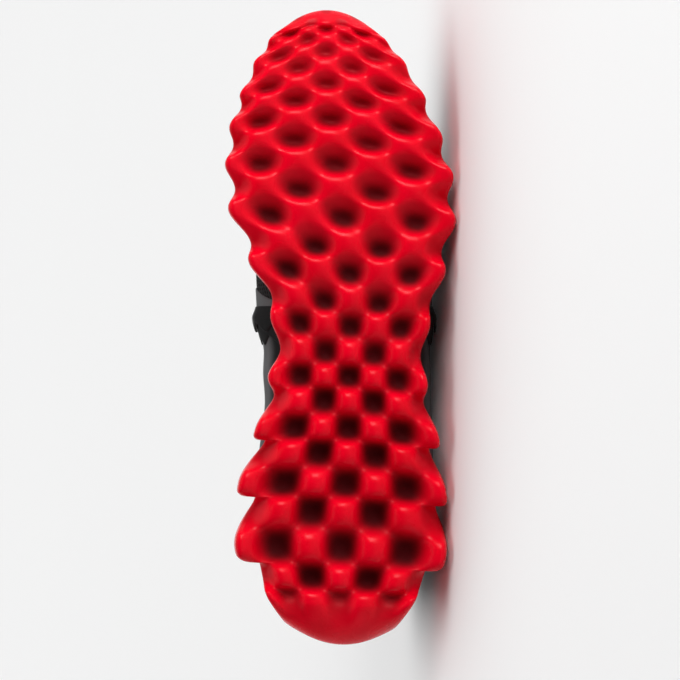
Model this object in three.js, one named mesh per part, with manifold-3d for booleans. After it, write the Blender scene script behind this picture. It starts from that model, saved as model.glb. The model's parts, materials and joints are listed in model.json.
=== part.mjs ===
// Left low-cut sneaker with a deeply sculpted rubber sole, lying on its outer side.
// The shoe is modelled standing: x runs from the heel to the toe, y to the outer side, z up
// from the tread plane. A last group then rolls it onto its side. Millimetres.

import * as THREE from 'three';
import { mergeVertices } from 'three/addons/utils/BufferGeometryUtils.js';
import Module from 'manifold-3d';

const wasm = await Module();
wasm.setup();

// Driving sizes
const SOLE_LENGTH = 306;
const BALL_WIDTH = 111;
const HEEL_STACK = 21;
const BALL_STACK = 13;
const TOE_SPRING = 17;
const ARCH_LIFT = 3;
const HEEL_TREAD = 12;
const BALL_TREAD = 8;
const TOE_TREAD = 4;
const HEEL_TURN_UP = 15;
const TOE_TURN_UP = 5;
const HEEL_CUP = 13;
const BALL_CUP = 9;
const CUP_WALL = 3;
const RIM_INSET = 1.5;
const INSTEP_HEIGHT = 92;
const HEEL_HEIGHT = 90;
const ANKLE_HEIGHT = 70;
const TOE_BOX_HEIGHT = 52;
const UPPER_WALL = 2.2;
const INSOLE_THICKNESS = 4;
const TONGUE_THICKNESS = 5;
const TONGUE_WIDTH = 50;
const TONGUE_STEP = 24;
const OVERLAY_THICKNESS = 1.4;
const LACE_WIDTH = 7;
const LACE_THICKNESS = 1.6;
const FIT_GAP = 0.3;
const CUP_GAP = 0.8;
const OVERLAY_GAP = 0.4;
const INSOLE_GAP = 1.0;
const FLOOR_FLAT = 0.35;

// Tread rows from the toe end to the heel end. Even rows have a pit beside the middle, odd
// rows a pit on it. along and bow are shares of the sole length: where the row crosses the
// middle, and how far its ends bend towards the heel. The rest are shares of the ball width:
// the middle's offset to the outer side, the pitch of the columns and how far the inner and
// outer edges lie from the middle, at a spike's tip on odd rows and in the notch on even ones.
const TREAD_ROWS = [
  { along: 1.000, bow: 0.027, middle: -0.058, pitch: 0.061, inner: 0.180, outer: 0.186 },
  { along: 0.979, bow: 0.018, middle: -0.058, pitch: 0.067, inner: 0.227, outer: 0.227 },
  { along: 0.968, bow: 0.017, middle: -0.061, pitch: 0.077, inner: 0.247, outer: 0.260 },
  { along: 0.953, bow: 0.017, middle: -0.054, pitch: 0.085, inner: 0.266, outer: 0.280 },
  { along: 0.933, bow: 0.017, middle: -0.061, pitch: 0.098, inner: 0.312, outer: 0.342 },
  { along: 0.909, bow: 0.017, middle: -0.063, pitch: 0.114, inner: 0.318, outer: 0.369 },
  { along: 0.883, bow: 0.019, middle: -0.060, pitch: 0.125, inner: 0.373, outer: 0.429 },
  { along: 0.856, bow: 0.016, middle: -0.052, pitch: 0.140, inner: 0.376, outer: 0.427 },
  { along: 0.827, bow: 0.019, middle: -0.043, pitch: 0.151, inner: 0.436, outer: 0.485 },
  { along: 0.794, bow: 0.017, middle: -0.037, pitch: 0.162, inner: 0.425, outer: 0.477 },
  { along: 0.758, bow: 0.013, middle: -0.022, pitch: 0.163, inner: 0.476, outer: 0.514 },
  { along: 0.716, bow: 0.006, middle: -0.012, pitch: 0.165, inner: 0.443, outer: 0.477 },
  { along: 0.675, bow: 0.003, middle: 0.009, pitch: 0.160, inner: 0.492, outer: 0.494 },
  { along: 0.627, bow: 0.000, middle: 0.034, pitch: 0.142, inner: 0.423, outer: 0.406 },
  { along: 0.587, bow: -0.004, middle: 0.039, pitch: 0.133, inner: 0.433, outer: 0.418 },
  { along: 0.540, bow: -0.004, middle: 0.050, pitch: 0.119, inner: 0.347, outer: 0.340 },
  { along: 0.502, bow: -0.004, middle: 0.045, pitch: 0.110, inner: 0.346, outer: 0.345 },
  { along: 0.459, bow: -0.002, middle: 0.043, pitch: 0.106, inner: 0.302, outer: 0.306 },
  { along: 0.422, bow: 0.006, middle: 0.039, pitch: 0.105, inner: 0.352, outer: 0.342 },
  { along: 0.384, bow: 0.006, middle: 0.038, pitch: 0.107, inner: 0.319, outer: 0.320 },
  { along: 0.340, bow: 0.006, middle: 0.036, pitch: 0.113, inner: 0.404, outer: 0.394 },
  { along: 0.302, bow: 0.006, middle: 0.031, pitch: 0.121, inner: 0.371, outer: 0.362 },
  { along: 0.253, bow: 0.006, middle: 0.024, pitch: 0.131, inner: 0.467, outer: 0.439 },
  { along: 0.210, bow: 0.006, middle: 0.012, pitch: 0.134, inner: 0.388, outer: 0.402 },
  { along: 0.154, bow: 0.006, middle: 0.005, pitch: 0.138, inner: 0.465, outer: 0.459 },
  { along: 0.105, bow: 0.003, middle: -0.001, pitch: 0.122, inner: 0.336, outer: 0.352 },
  { along: 0.065, bow: -0.006, middle: -0.005, pitch: 0.107, inner: 0.308, outer: 0.320 },
  { along: 0.000, bow: -0.031, middle: 0.000, pitch: 0.078, inner: 0.243, outer: 0.243 },
];
const FIRST_ROW = -1;
const LAST_ROW = FIRST_ROW + TREAD_ROWS.length - 1;
const EDGE_COLUMN = 3;
const FIRST_SPIKE = 3;
const LAST_SPIKE = 23;
const FIRST_FIN = 19;

// Sections of the upper from the heel to the toe. at is the share of the upper's length,
// inner and outer the bulge of each side over the feather line, waist the bulge's share of
// the wall's height, open the opening's share of the width, round the exponent of the arch
// and top the height of the edge or ridge as a share of the named height beside it.
const UPPER_SECTIONS = [
  { at: 0.00, inner: 1.00, outer: 1.00, waist: 0.36, open: 0.84, round: 2.2, top: 1.00, of: HEEL_HEIGHT },
  { at: 0.05, inner: 1.00, outer: 1.00, waist: 0.36, open: 0.82, round: 2.2, top: 0.97, of: HEEL_HEIGHT },
  { at: 0.14, inner: 1.00, outer: 1.02, waist: 0.36, open: 0.80, round: 2.2, top: 1.07, of: ANKLE_HEIGHT },
  { at: 0.25, inner: 1.08, outer: 1.10, waist: 0.36, open: 0.76, round: 2.1, top: 1.00, of: ANKLE_HEIGHT },
  { at: 0.34, inner: 1.23, outer: 1.24, waist: 0.34, open: 0.66, round: 2.0, top: 1.06, of: ANKLE_HEIGHT },
  { at: 0.41, inner: 1.36, outer: 1.31, waist: 0.32, open: 0.50, round: 2.0, top: 0.94, of: INSTEP_HEIGHT },
  { at: 0.45, inner: 1.42, outer: 1.31, waist: 0.33, open: 0.42, round: 2.0, top: 1.00, of: INSTEP_HEIGHT },
  { at: 0.54, inner: 1.42, outer: 1.20, waist: 0.34, open: 0.34, round: 2.1, top: 0.90, of: INSTEP_HEIGHT },
  { at: 0.63, inner: 1.14, outer: 1.05, waist: 0.36, open: 0.25, round: 2.2, top: 0.79, of: INSTEP_HEIGHT },
  { at: 0.70, inner: 1.05, outer: 1.01, waist: 0.36, open: 0.16, round: 2.3, top: 0.72, of: INSTEP_HEIGHT },
  { at: 0.80, inner: 1.04, outer: 1.01, waist: 0.38, open: 0.00, round: 2.4, top: 1.13, of: TOE_BOX_HEIGHT },
  { at: 0.90, inner: 1.02, outer: 1.02, waist: 0.42, open: 0.00, round: 2.5, top: 1.04, of: TOE_BOX_HEIGHT },
  { at: 1.00, inner: 1.00, outer: 1.00, waist: 0.42, open: 0.00, round: 2.5, top: 1.00, of: TOE_BOX_HEIGHT },
];
const THROAT_FRONT = 0.715;
const THROAT_TOP = 0.45;
const SIDE_FRONT = 0.478;
const LACE_BARS = 6;

const clamp = (value, low, high) => Math.min(Math.max(value, low), high);
const mix = (a, b, share) => a + (b - a) * share;

function smooth(low, high, value) {
  const share = clamp((value - low) / (high - low), 0, 1);
  return share * share * (3 - 2 * share);
}

// Smooth curve through equally spaced values
function curve(values, place) {
  const last = values.length - 1;
  const k = clamp(Math.floor(place), 0, last - 1);
  const f = place - k;
  const [a, b, c, d] = [-1, 0, 1, 2].map((step) => values[clamp(k + step, 0, last)]);
  return b + 0.5 * f * (c - a + f * (2 * a - 5 * b + 4 * c - d + f * (3 * (b - c) + d - a)));
}

const treadColumns = Object.fromEntries(
  Object.keys(TREAD_ROWS[0]).map((name) => [name, TREAD_ROWS.map((row) => row[name])]),
);

function treadValue(name, row) {
  return curve(treadColumns[name], row - FIRST_ROW);
}

// The edge without its spikes: a curve through the notches
function notchLine(name) {
  const places = treadColumns[name];
  return places.map((value, k) => {
    const row = k + FIRST_ROW;
    const spike = row % 2 !== 0 && row >= FIRST_SPIKE && row <= LAST_SPIKE;
    return spike ? (places[k - 1] + places[k + 1]) / 2 : value;
  });
}

const notchLines = { inner: notchLine('inner'), outer: notchLine('outer') };

// A spike's outline between its two notches: a round lobe in front, under the heel a fin that
// swells backwards to a round tip with a flat back. The places along a fin are in rows.
const FIN_LEAD = 1.5;
const FIN_TIP = 0.05;
const FIN_HEEL = 0.42;
const FIN_BACK = 0.5;
const FIN_HEEL_SHARE = 0.86;

function spikeShare(row, spike) {
  const step = row - spike;
  if (spike < FIRST_FIN) return Math.abs(step) < 1 ? 0.5 + 0.5 * Math.cos(Math.PI * step) : 0;
  if (step <= -FIN_LEAD || step >= FIN_BACK) return 0;
  if (step > FIN_HEEL) return FIN_HEEL_SHARE * (FIN_BACK - step) / (FIN_BACK - FIN_HEEL);
  if (step > FIN_TIP) return mix(1, FIN_HEEL_SHARE, ((step - FIN_TIP) / (FIN_HEEL - FIN_TIP)) ** 2);
  return Math.sin(Math.PI / 2 * (step + FIN_LEAD) / (FIN_TIP + FIN_LEAD)) ** 2;
}

function spikeReach(name, row) {
  let reach = 0;
  for (let spike = FIRST_SPIKE; spike <= LAST_SPIKE; spike += 2) {
    const k = spike - FIRST_ROW;
    reach += (treadColumns[name][k] - notchLines[name][k]) * spikeShare(row, spike);
  }
  return reach;
}

// Plan position of a tread column and row. reach scales the spikes at the edge. Behind the
// toe the rows slant a little across the sole.
const ROW_SLOPE = 0.05;
const SLANTING_ROWS = [3, 8];

function treadPlan(column, row, reach) {
  const side = column < 0 ? 'inner' : 'outer';
  const sign = Math.sign(column);
  const count = Math.abs(column);
  const pitch = treadValue('pitch', row);
  const notch = curve(notchLines[side], row - FIRST_ROW);
  const edge = notch + reach * spikeReach(side, row);
  const outside = count > 2 ? (count - 2) * (edge - 2 * pitch) : 0;
  const offset = sign * (Math.min(count, 2) * pitch + outside) * BALL_WIDTH;
  const bow = treadValue('bow', row) * (column / EDGE_COLUMN) ** 2;
  return {
    x: (treadValue('along', row) - bow) * SOLE_LENGTH
      - ROW_SLOPE * smooth(...SLANTING_ROWS, row) * offset,
    y: treadValue('middle', row) * BALL_WIDTH + offset,
  };
}

// Heights along the sole. Places are shares of its length, or rows of the tread.
const SPRING_START = 0.70;
const SPRING_POWER = 2.2;
const TURN_UP_POWER = 1.5;
const ARCH_START = 0.32;
const ARCH_END = 0.62;
const TOE_DEPTH_ROWS = [FIRST_ROW, 2];
const BALL_DEPTH_ROWS = [2, 8];
const HEEL_DEPTH_ROWS = [14, 20];
const HEEL_FADE_ROWS = [LAST_ROW - 3, LAST_ROW - 0.5];
const STACK_CHANGE = [0.25, 0.62];
const CUP_CHANGE = [0.2, 0.55];
const TOE_RIM_PART = [0.85, 1];
const TOE_RIM_RISE = 1;

function spring(x) {
  const share = clamp((x / SOLE_LENGTH - SPRING_START) / (1 - SPRING_START), 0, 1);
  return TOE_SPRING * share ** SPRING_POWER;
}

function treadLift(x, row) {
  const arch = clamp((x / SOLE_LENGTH - ARCH_START) / (ARCH_END - ARCH_START), 0, 1);
  const heelEnd = clamp(row - (LAST_ROW - 1), 0, 1);
  const toeEnd = clamp(FIRST_ROW + 1 - row, 0, 1);
  return spring(x) + ARCH_LIFT * Math.sin(Math.PI * arch) ** 2
    + HEEL_TURN_UP * heelEnd ** TURN_UP_POWER + TOE_TURN_UP * toeEnd ** TURN_UP_POWER;
}

function treadDepth(row) {
  const toe = TOE_TREAD * smooth(...TOE_DEPTH_ROWS, row);
  const ball = (BALL_TREAD - TOE_TREAD) * smooth(...BALL_DEPTH_ROWS, row);
  const heel = (HEEL_TREAD - BALL_TREAD) * smooth(...HEEL_DEPTH_ROWS, row);
  return (toe + ball + heel) * (1 - smooth(...HEEL_FADE_ROWS, row));
}

// Each bump and pit is flat over this share of its pitch on each side of its middle
const FLAT_SHARE = 0.18;

function wave(place) {
  return clamp(Math.cos(Math.PI * place) / Math.cos(Math.PI * FLAT_SHARE), -1, 1);
}

function treadHeight(x, column, row) {
  return treadLift(x, row) + treadDepth(row) * (1 - wave(column) * wave(row)) / 2;
}

function footbed(x) {
  return mix(HEEL_STACK, BALL_STACK, smooth(...STACK_CHANGE, x / SOLE_LENGTH)) + spring(x);
}

function rimHeight(x) {
  const share = x / SOLE_LENGTH;
  const cup = mix(HEEL_CUP, BALL_CUP, smooth(...CUP_CHANGE, share));
  return footbed(x) + cup + TOE_RIM_RISE * smooth(...TOE_RIM_PART, share);
}

// Lines of the tread's grid
function treadColumnsOfGrid() {
  const lines = [-EDGE_COLUMN];
  for (let k = -EDGE_COLUMN; k < EDGE_COLUMN; k += 1) {
    lines.push(k + FLAT_SHARE, k + 0.5, k + 1 - FLAT_SHARE);
  }
  return [...lines, EDGE_COLUMN];
}

function treadRowsOfGrid() {
  const lines = [FIRST_ROW];
  for (let k = FIRST_ROW; k < LAST_ROW; k += 1) {
    if (k < 2) lines.push(k + 0.5, k + 1);
    else lines.push(k + FLAT_SHARE, k + 0.5, k + 1 - FLAT_SHARE);
    if (k % 2 !== 0 && k >= FIRST_FIN && k <= LAST_SPIKE) lines.push(k + FIN_HEEL);
  }
  return [...lines.sort((a, b) => a - b), LAST_ROW];
}

const gridColumns = treadColumnsOfGrid();
const gridRows = treadRowsOfGrid();

// Places round the tread's edge, in order: outer side, heel, inner side, toe
function edgePlaces() {
  const lastRow = gridRows.length - 1;
  const lastColumn = gridColumns.length - 1;
  const places = [];
  for (let r = 0; r <= lastRow; r += 1) places.push([lastColumn, r]);
  for (let c = lastColumn - 1; c >= 0; c -= 1) places.push([c, lastRow]);
  for (let r = lastRow - 1; r >= 0; r -= 1) places.push([0, r]);
  for (let c = 1; c < lastColumn; c += 1) places.push([c, 0]);
  return places;
}

const edge = edgePlaces();

// The plain outline through the notches, and the same drawn in by a distance, square to the
// line between the neighbours NORMAL_REACH places away
const NORMAL_REACH = 3;
const notchOutline = edge.map(([c, r]) => treadPlan(gridColumns[c], gridRows[r], 0));

function drawnIn(distance) {
  const count = notchOutline.length;
  return notchOutline.map((point, k) => {
    const before = notchOutline[(k + count - NORMAL_REACH) % count];
    const after = notchOutline[(k + NORMAL_REACH) % count];
    const length = Math.hypot(after.x - before.x, after.y - before.y);
    return {
      x: point.x - distance * (after.y - before.y) / length,
      y: point.y + distance * (after.x - before.x) / length,
    };
  });
}

// Sheets and solids
class SolidBuilder {
  constructor() {
    this.points = [];
    this.faces = [];
  }

  point(x, y, z) {
    this.points.push(x, y, z);
    return this.points.length / 3 - 1;
  }

  quad(a, b, c, d) {
    this.faces.push(a, b, c, a, c, d);
  }

  strip(first, second, closed) {
    const count = first.length;
    for (let k = 0; k < (closed ? count : count - 1); k += 1) {
      const next = (k + 1) % count;
      this.quad(first[k], first[next], second[next], second[k]);
    }
  }

  geometry() {
    const raw = new THREE.BufferGeometry();
    raw.setAttribute('position', new THREE.Float32BufferAttribute(this.points, 3));
    raw.setIndex(this.faces);
    const merged = mergeVertices(raw, 1e-3);
    const index = [];
    const old = merged.index.array;
    for (let k = 0; k < old.length; k += 3) {
      const [a, b, c] = [old[k], old[k + 1], old[k + 2]];
      if (a !== b && b !== c && a !== c) index.push(a, b, c);
    }
    merged.setIndex(index);
    return volume(merged) < 0 ? turnedOut(merged) : merged;
  }
}

function volume(geometry) {
  const position = geometry.attributes.position;
  const index = geometry.index.array;
  const [a, b, c] = [new THREE.Vector3(), new THREE.Vector3(), new THREE.Vector3()];
  let total = 0;
  for (let k = 0; k < index.length; k += 3) {
    a.fromBufferAttribute(position, index[k]);
    b.fromBufferAttribute(position, index[k + 1]);
    c.fromBufferAttribute(position, index[k + 2]);
    total += a.dot(b.cross(c)) / 6;
  }
  return total;
}

function turnedOut(geometry) {
  const index = Array.from(geometry.index.array);
  for (let k = 0; k < index.length; k += 3) {
    [index[k + 1], index[k + 2]] = [index[k + 2], index[k + 1]];
  }
  geometry.setIndex(index);
  return geometry;
}

// A wall between an outer and an inner sheet with the same grid. Cells that skip returns true
// for are left open, and every open edge gets a closing strip.
function walledSheet(rows, columns, place, skip = () => false) {
  const ids = new Map();
  const builder = new SolidBuilder();
  const outer = [];
  const inner = [];
  const idOf = (r, c) => {
    const point = place(r, c, 0);
    const key = [point.x, point.y, point.z].map((value) => Math.round(value * 200)).join(' ');
    if (!ids.has(key)) {
      const other = place(r, c, 1);
      ids.set(key, outer.length);
      outer.push(builder.point(point.x, point.y, point.z));
      inner.push(builder.point(other.x, other.y, other.z));
    }
    return ids.get(key);
  };
  const triangles = [];
  for (let r = 0; r + 1 < rows; r += 1) {
    for (let c = 0; c + 1 < columns; c += 1) {
      if (skip(r, c)) continue;
      const [p, q, s, t] = [idOf(r, c), idOf(r, c + 1), idOf(r + 1, c + 1), idOf(r + 1, c)];
      triangles.push([p, q, s], [p, s, t]);
    }
  }
  const kept = triangles.filter(([a, b, c]) => a !== b && b !== c && a !== c);
  const used = new Set(kept.flatMap(([a, b, c]) => [`${a} ${b}`, `${b} ${c}`, `${c} ${a}`]));
  for (const [a, b, c] of kept) {
    builder.faces.push(outer[a], outer[b], outer[c], inner[a], inner[c], inner[b]);
    for (const [from, to] of [[a, b], [b, c], [c, a]]) {
      if (!used.has(`${to} ${from}`)) builder.quad(outer[to], outer[from], inner[from], inner[to]);
    }
  }
  return builder.geometry();
}

// Outsole: tread, side wall with ribs, rim and footbed
const SIDE_RINGS = [
  { rise: 0.45, reach: 1.00, inset: 0.0 },
  { rise: 0.74, reach: 0.50, inset: 0.5 },
  { rise: 1.00, reach: 0.00, inset: RIM_INSET },
];
const TREAD_EDGE_REACH = 0.82;

function makeOutsole() {
  const builder = new SolidBuilder();
  const tread = gridRows.map((row) => gridColumns.map((column) => {
    const { x, y } = treadPlan(column, row, TREAD_EDGE_REACH);
    return builder.point(x, y, treadHeight(x, column, row));
  }));
  for (let r = 0; r + 1 < gridRows.length; r += 1) builder.strip(tread[r], tread[r + 1], false);

  const bottom = edge.map(([c, r]) => tread[r][c]);
  const bottomHeight = bottom.map((id) => builder.points[3 * id + 2]);
  let below = bottom;
  for (const { rise, reach, inset } of SIDE_RINGS) {
    const line = drawnIn(inset);
    const ring = edge.map(([c, r], k) => {
      const notch = notchOutline[k];
      const tip = treadPlan(gridColumns[c], gridRows[r], reach);
      const x = line[k].x + tip.x - notch.x;
      const y = line[k].y + tip.y - notch.y;
      return builder.point(x, y, mix(bottomHeight[k], rimHeight(x), rise));
    });
    builder.strip(ring, below, true);
    below = ring;
  }

  const inside = drawnIn(RIM_INSET + CUP_WALL);
  const lip = inside.map(({ x, y }) => builder.point(x, y, rimHeight(x)));
  const floor = inside.map(({ x, y }) => builder.point(x, y, footbed(x)));
  builder.strip(lip, below, true);
  builder.strip(floor, lip, true);
  builder.faces.push(...bedFaces(floor, true));
  return builder.geometry();
}

// Faces across a ring of points: strips from side to side and a fan at each end
function bedFaces(ring, turned) {
  const rowCount = gridRows.length;
  const columnCount = gridColumns.length;
  const outer = ring.slice(0, rowCount);
  const inner = ring.slice(rowCount + columnCount - 2, 2 * rowCount + columnCount - 2).reverse();
  const heel = ring.slice(rowCount - 1, rowCount + columnCount - 1);
  const toe = [...ring.slice(2 * rowCount + columnCount - 3), ring[0]];
  const bed = new SolidBuilder();
  bed.strip(outer, inner, false);
  for (const arc of [heel, toe]) {
    for (let k = 1; k + 1 < arc.length; k += 1) bed.faces.push(arc[0], arc[k], arc[k + 1]);
  }
  return turned ? bed.faces.reverse() : bed.faces;
}

// Insole: a sheet on the footbed, inside the upper's wall
function makeInsole() {
  const builder = new SolidBuilder();
  const outline = drawnIn(RIM_INSET + CUP_WALL + CUP_GAP + UPPER_WALL + INSOLE_GAP);
  const low = outline.map(({ x, y }) => builder.point(x, y, footbed(x) + FIT_GAP));
  const high = outline.map(({ x, y }) => builder.point(x, y, footbed(x) + FIT_GAP + INSOLE_THICKNESS));
  builder.strip(low, high, true);
  builder.faces.push(...bedFaces(high, false), ...bedFaces(low, true));
  return builder.geometry();
}

// The last: the upper's outer form at inset 0, smaller or larger forms around it
function sectionValue(name, share) {
  const last = UPPER_SECTIONS.length - 1;
  let k = 0;
  while (k < last - 1 && UPPER_SECTIONS[k + 1].at < share) k += 1;
  const place = (share - UPPER_SECTIONS[k].at) / (UPPER_SECTIONS[k + 1].at - UPPER_SECTIONS[k].at);
  const values = UPPER_SECTIONS.map((section) => (
    name === 'top' ? section.top * section.of : section[name]));
  const slope = (n) => {
    const low = Math.max(n - 1, 0);
    const high = Math.min(n + 1, last);
    return (values[high] - values[low]) / (UPPER_SECTIONS[high].at - UPPER_SECTIONS[low].at);
  };
  const width = UPPER_SECTIONS[k + 1].at - UPPER_SECTIONS[k].at;
  const f = clamp(place, 0, 1);
  const [a, b] = [values[k], values[k + 1]];
  const blend = 3 * f ** 2 - 2 * f ** 3;
  const rises = slope(k) * (f ** 3 - 2 * f ** 2 + f) + slope(k + 1) * (f ** 3 - f ** 2);
  return mix(a, b, blend) + width * rises;
}

function lastForm(inset) {
  const ring = drawnIn(RIM_INSET + CUP_WALL + CUP_GAP + inset);
  const xs = ring.map((point) => point.x);
  return { ring, inset, from: Math.min(...xs), to: Math.max(...xs) };
}

// Where a ring crosses a line across the shoe, or its end point at the heel and the toe
function across(ring, x) {
  const end = ring.find((point) => point.x === x);
  if (end) return { middle: end.y, half: 0 };
  let low = Infinity;
  let high = -Infinity;
  ring.forEach((point, k) => {
    const next = ring[(k + 1) % ring.length];
    if ((point.x - x) * (next.x - x) > 0) return;
    const share = next.x === point.x ? 0 : (x - point.x) / (next.x - point.x);
    const y = mix(point.y, next.y, share);
    low = Math.min(low, y);
    high = Math.max(high, y);
  });
  return { middle: (low + high) / 2, half: (high - low) / 2 };
}

const outerForm = lastForm(0);
const TOE_ROUND = 24;
const TOE_ROUND_POWER = 2.2;
const TOE_END_SHARE = 0.46;
const HEEL_LEAN = 6;
const HEEL_LEAN_SHARE = 0.22;

// One section of a form: its sizes at a share of the length
function sectionOf(form, share) {
  const x = mix(form.from, form.to, share);
  const outerX = mix(outerForm.from, outerForm.to, share);
  const { middle, half } = across(form.ring, x);
  const full = across(outerForm.ring, outerX).half;
  const foot = footbed(x) + FIT_GAP;
  const fromToe = clamp((1 - share) * (outerForm.to - outerForm.from) / TOE_ROUND, 0, 1);
  const roundness = (1 - (1 - fromToe) ** TOE_ROUND_POWER) ** (1 / TOE_ROUND_POWER);
  const toeRound = mix(TOE_END_SHARE, 1, roundness);
  const edgeTop = foot + (sectionValue('top', share) - foot) * toeRound;
  const rim = Math.max(rimHeight(x), rimHeight(outerX)) + FIT_GAP;
  const bulge = rim + sectionValue('waist', share) * (edgeTop - rim);
  const round = sectionValue('round', share);
  const open = share < THROAT_FRONT ? sectionValue('open', share) : 0;
  const arch = (1 - open ** round) ** (1 / round);
  return {
    x, middle, half, foot, rim, bulge, round, open,
    widths: {
      inner: half + full * (sectionValue('inner', share) - 1),
      outer: half + full * (sectionValue('outer', share) - 1),
    },
    ridge: bulge + (edgeTop - bulge) / arch - form.inset,
  };
}

// A point of a form. climb runs from -1 at the feather line over AT_RIM at the sole's rim and
// 0 at the bulge to the turn of the arch in radians; side is inner or outer.
const AT_RIM = -0.5;

function lastPoint(form, share, side, climb) {
  const section = sectionOf(form, share);
  const width = section.widths[side];
  let half;
  let z;
  if (climb < AT_RIM) {
    half = section.half;
    z = mix(section.foot, section.rim, (climb + 1) / (AT_RIM + 1));
  } else if (climb < 0) {
    const rise = 1 - climb / AT_RIM;
    half = mix(section.half, width, Math.sin(rise * Math.PI / 2));
    z = mix(section.rim, section.bulge, rise);
  } else {
    half = width * Math.max(Math.cos(climb), 0) ** (2 / section.round);
    z = mix(section.bulge, section.ridge, Math.sin(climb) ** (2 / section.round));
  }
  const lean = HEEL_LEAN * (Math.max(z - section.bulge, 0) / (HEEL_HEIGHT - section.bulge)) ** 2;
  const atHeel = clamp(1 - share / HEEL_LEAN_SHARE, 0, 1) ** 2;
  const sign = side === 'inner' ? -1 : 1;
  return new THREE.Vector3(section.x + lean * atHeel, section.middle + sign * half, z);
}

// The turn at which the wall stops at the opening, and at a given distance from the middle
function edgeTurn(share) {
  const section = sectionOf(outerForm, share);
  return Math.acos(section.open ** (section.round / 2));
}

function turnAt(share, side, half) {
  const section = sectionOf(outerForm, share);
  return Math.acos(clamp(half / section.widths[side], 0, 1) ** (section.round / 2));
}

// Shares of the length, closer together at both round ends
const END_CLUSTER = 0.72;

function stations(count) {
  const list = [];
  for (let k = 0; k <= count; k += 1) {
    const even = k / count;
    list.push(mix(even, 0.5 - 0.5 * Math.cos(Math.PI * even), END_CLUSTER));
  }
  return list;
}

// Upper: one wall from feather line to opening
const LOW_CLIMBS = [-1, AT_RIM, AT_RIM / 2, 0];
const HIGH_STEPS = 6;

const BULGE_STEP = LOW_CLIMBS.length - 1;
const EDGE_STEP = BULGE_STEP + HIGH_STEPS;
const STATION_COUNT = 34;

function climbOf(share, step) {
  if (step > BULGE_STEP) return edgeTurn(share) * (step - BULGE_STEP) / HIGH_STEPS;
  const low = Math.min(Math.floor(step), BULGE_STEP - 1);
  return mix(LOW_CLIMBS[low], LOW_CLIMBS[low + 1], step - low);
}

function upperStations() {
  const shares = stations(STATION_COUNT);
  for (const named of [THROAT_TOP, THROAT_FRONT]) {
    const distance = (share) => Math.abs(share - named);
    const nearest = shares.reduce((best, share) => (distance(share) < distance(best) ? share : best));
    shares[shares.indexOf(nearest)] = named;
  }
  shares.push(SIDE_FRONT);
  return shares.sort((a, b) => a - b);
}

const upperShares = upperStations();

function makeUpper() {
  const forms = [outerForm, lastForm(UPPER_WALL)];
  const place = (r, c, depth) => {
    const side = c <= EDGE_STEP ? 'inner' : 'outer';
    const step = c <= EDGE_STEP ? c : 2 * EDGE_STEP + 1 - c;
    return lastPoint(forms[depth], upperShares[r], side, climbOf(upperShares[r], step));
  };
  return walledSheet(upperShares.length, 2 * EDGE_STEP + 2, place, (r, c) => c === EDGE_STEP);
}

// Overlays lie just over the upper, on its own stations and steps
const overlayForms = [lastForm(-OVERLAY_GAP - OVERLAY_THICKNESS), lastForm(-OVERLAY_GAP)];
const EYESTAY_STEPS = [EDGE_STEP - 2, EDGE_STEP - 1, EDGE_STEP - 0.02];

// Steps in the order in which the upper's own sheet runs over a side
function stepOrder(steps, side) {
  return side === 'inner' ? steps : [...steps].reverse();
}

function makeEyestay(side) {
  const shares = upperShares.filter((share) => share >= THROAT_TOP && share <= THROAT_FRONT);
  const steps = stepOrder(EYESTAY_STEPS, side);
  return walledSheet(shares.length, steps.length, (r, c, depth) => (
    lastPoint(overlayForms[depth], shares[r], side, climbOf(shares[r], steps[c]))));
}

// Side overlay: from the heel counter forward to a slanting edge with saw teeth
const COUNTER_FRONT = 0.11;
const TOOTH = 0.022;
const OVERLAY_STEPS = [1.15, 1.6, 2, 2.5, 3, 3.5, 4, 4.5, 5];

function makeSideOverlay(side) {
  const seam = FIT_GAP / SOLE_LENGTH;
  const shares = upperShares.filter((share) => share > COUNTER_FRONT && share < SIDE_FRONT);
  shares.unshift(COUNTER_FRONT + seam);
  shares.push(SIDE_FRONT);
  const last = shares.length - 1;
  const steps = stepOrder(OVERLAY_STEPS, side);
  return walledSheet(shares.length, steps.length, (r, c, depth) => {
    const tooth = r === last && c % 2 === 1 ? TOOTH : 0;
    const share = shares[r] + tooth;
    return lastPoint(overlayForms[depth], share, side, climbOf(share, steps[c]));
  });
}

// Heel counter: round the back from side to side
function makeHeelCounter() {
  const shares = upperShares.filter((share) => share > 0 && share < COUNTER_FRONT);
  shares.push(COUNTER_FRONT - FIT_GAP / SOLE_LENGTH);
  const path = [
    ...shares.map((share) => [share, 'inner']).reverse(),
    [0, 'inner'],
    ...shares.map((share) => [share, 'outer']),
  ];
  const steps = OVERLAY_STEPS.filter((step, k) => k % 2 === 0 || k === 1).reverse();
  return walledSheet(path.length, steps.length, (r, c, depth) => {
    const [share, side] = path[r];
    return lastPoint(overlayForms[depth], share, side, climbOf(share, steps[c]));
  });
}

// Tongue: under the vamp and the eyestays, then free above the throat
const TONGUE_GAP = 1.0;
const TONGUE_TOP_SHARE = 0.62;
const TONGUE_WIDEST = 0.55;
const TONGUE_FRONT_SHARE = 0.8;
const TONGUE_FRONT = 0.75;
const TONGUE_COLUMNS = [-1, -0.75, -0.4, 0, 0.4, 0.75, 1];
const tongueForms = [
  lastForm(UPPER_WALL + TONGUE_GAP),
  lastForm(UPPER_WALL + TONGUE_GAP + TONGUE_THICKNESS),
];

function ridgePoint(form, share) {
  return lastPoint(form, share, 'inner', Math.PI / 2);
}

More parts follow.
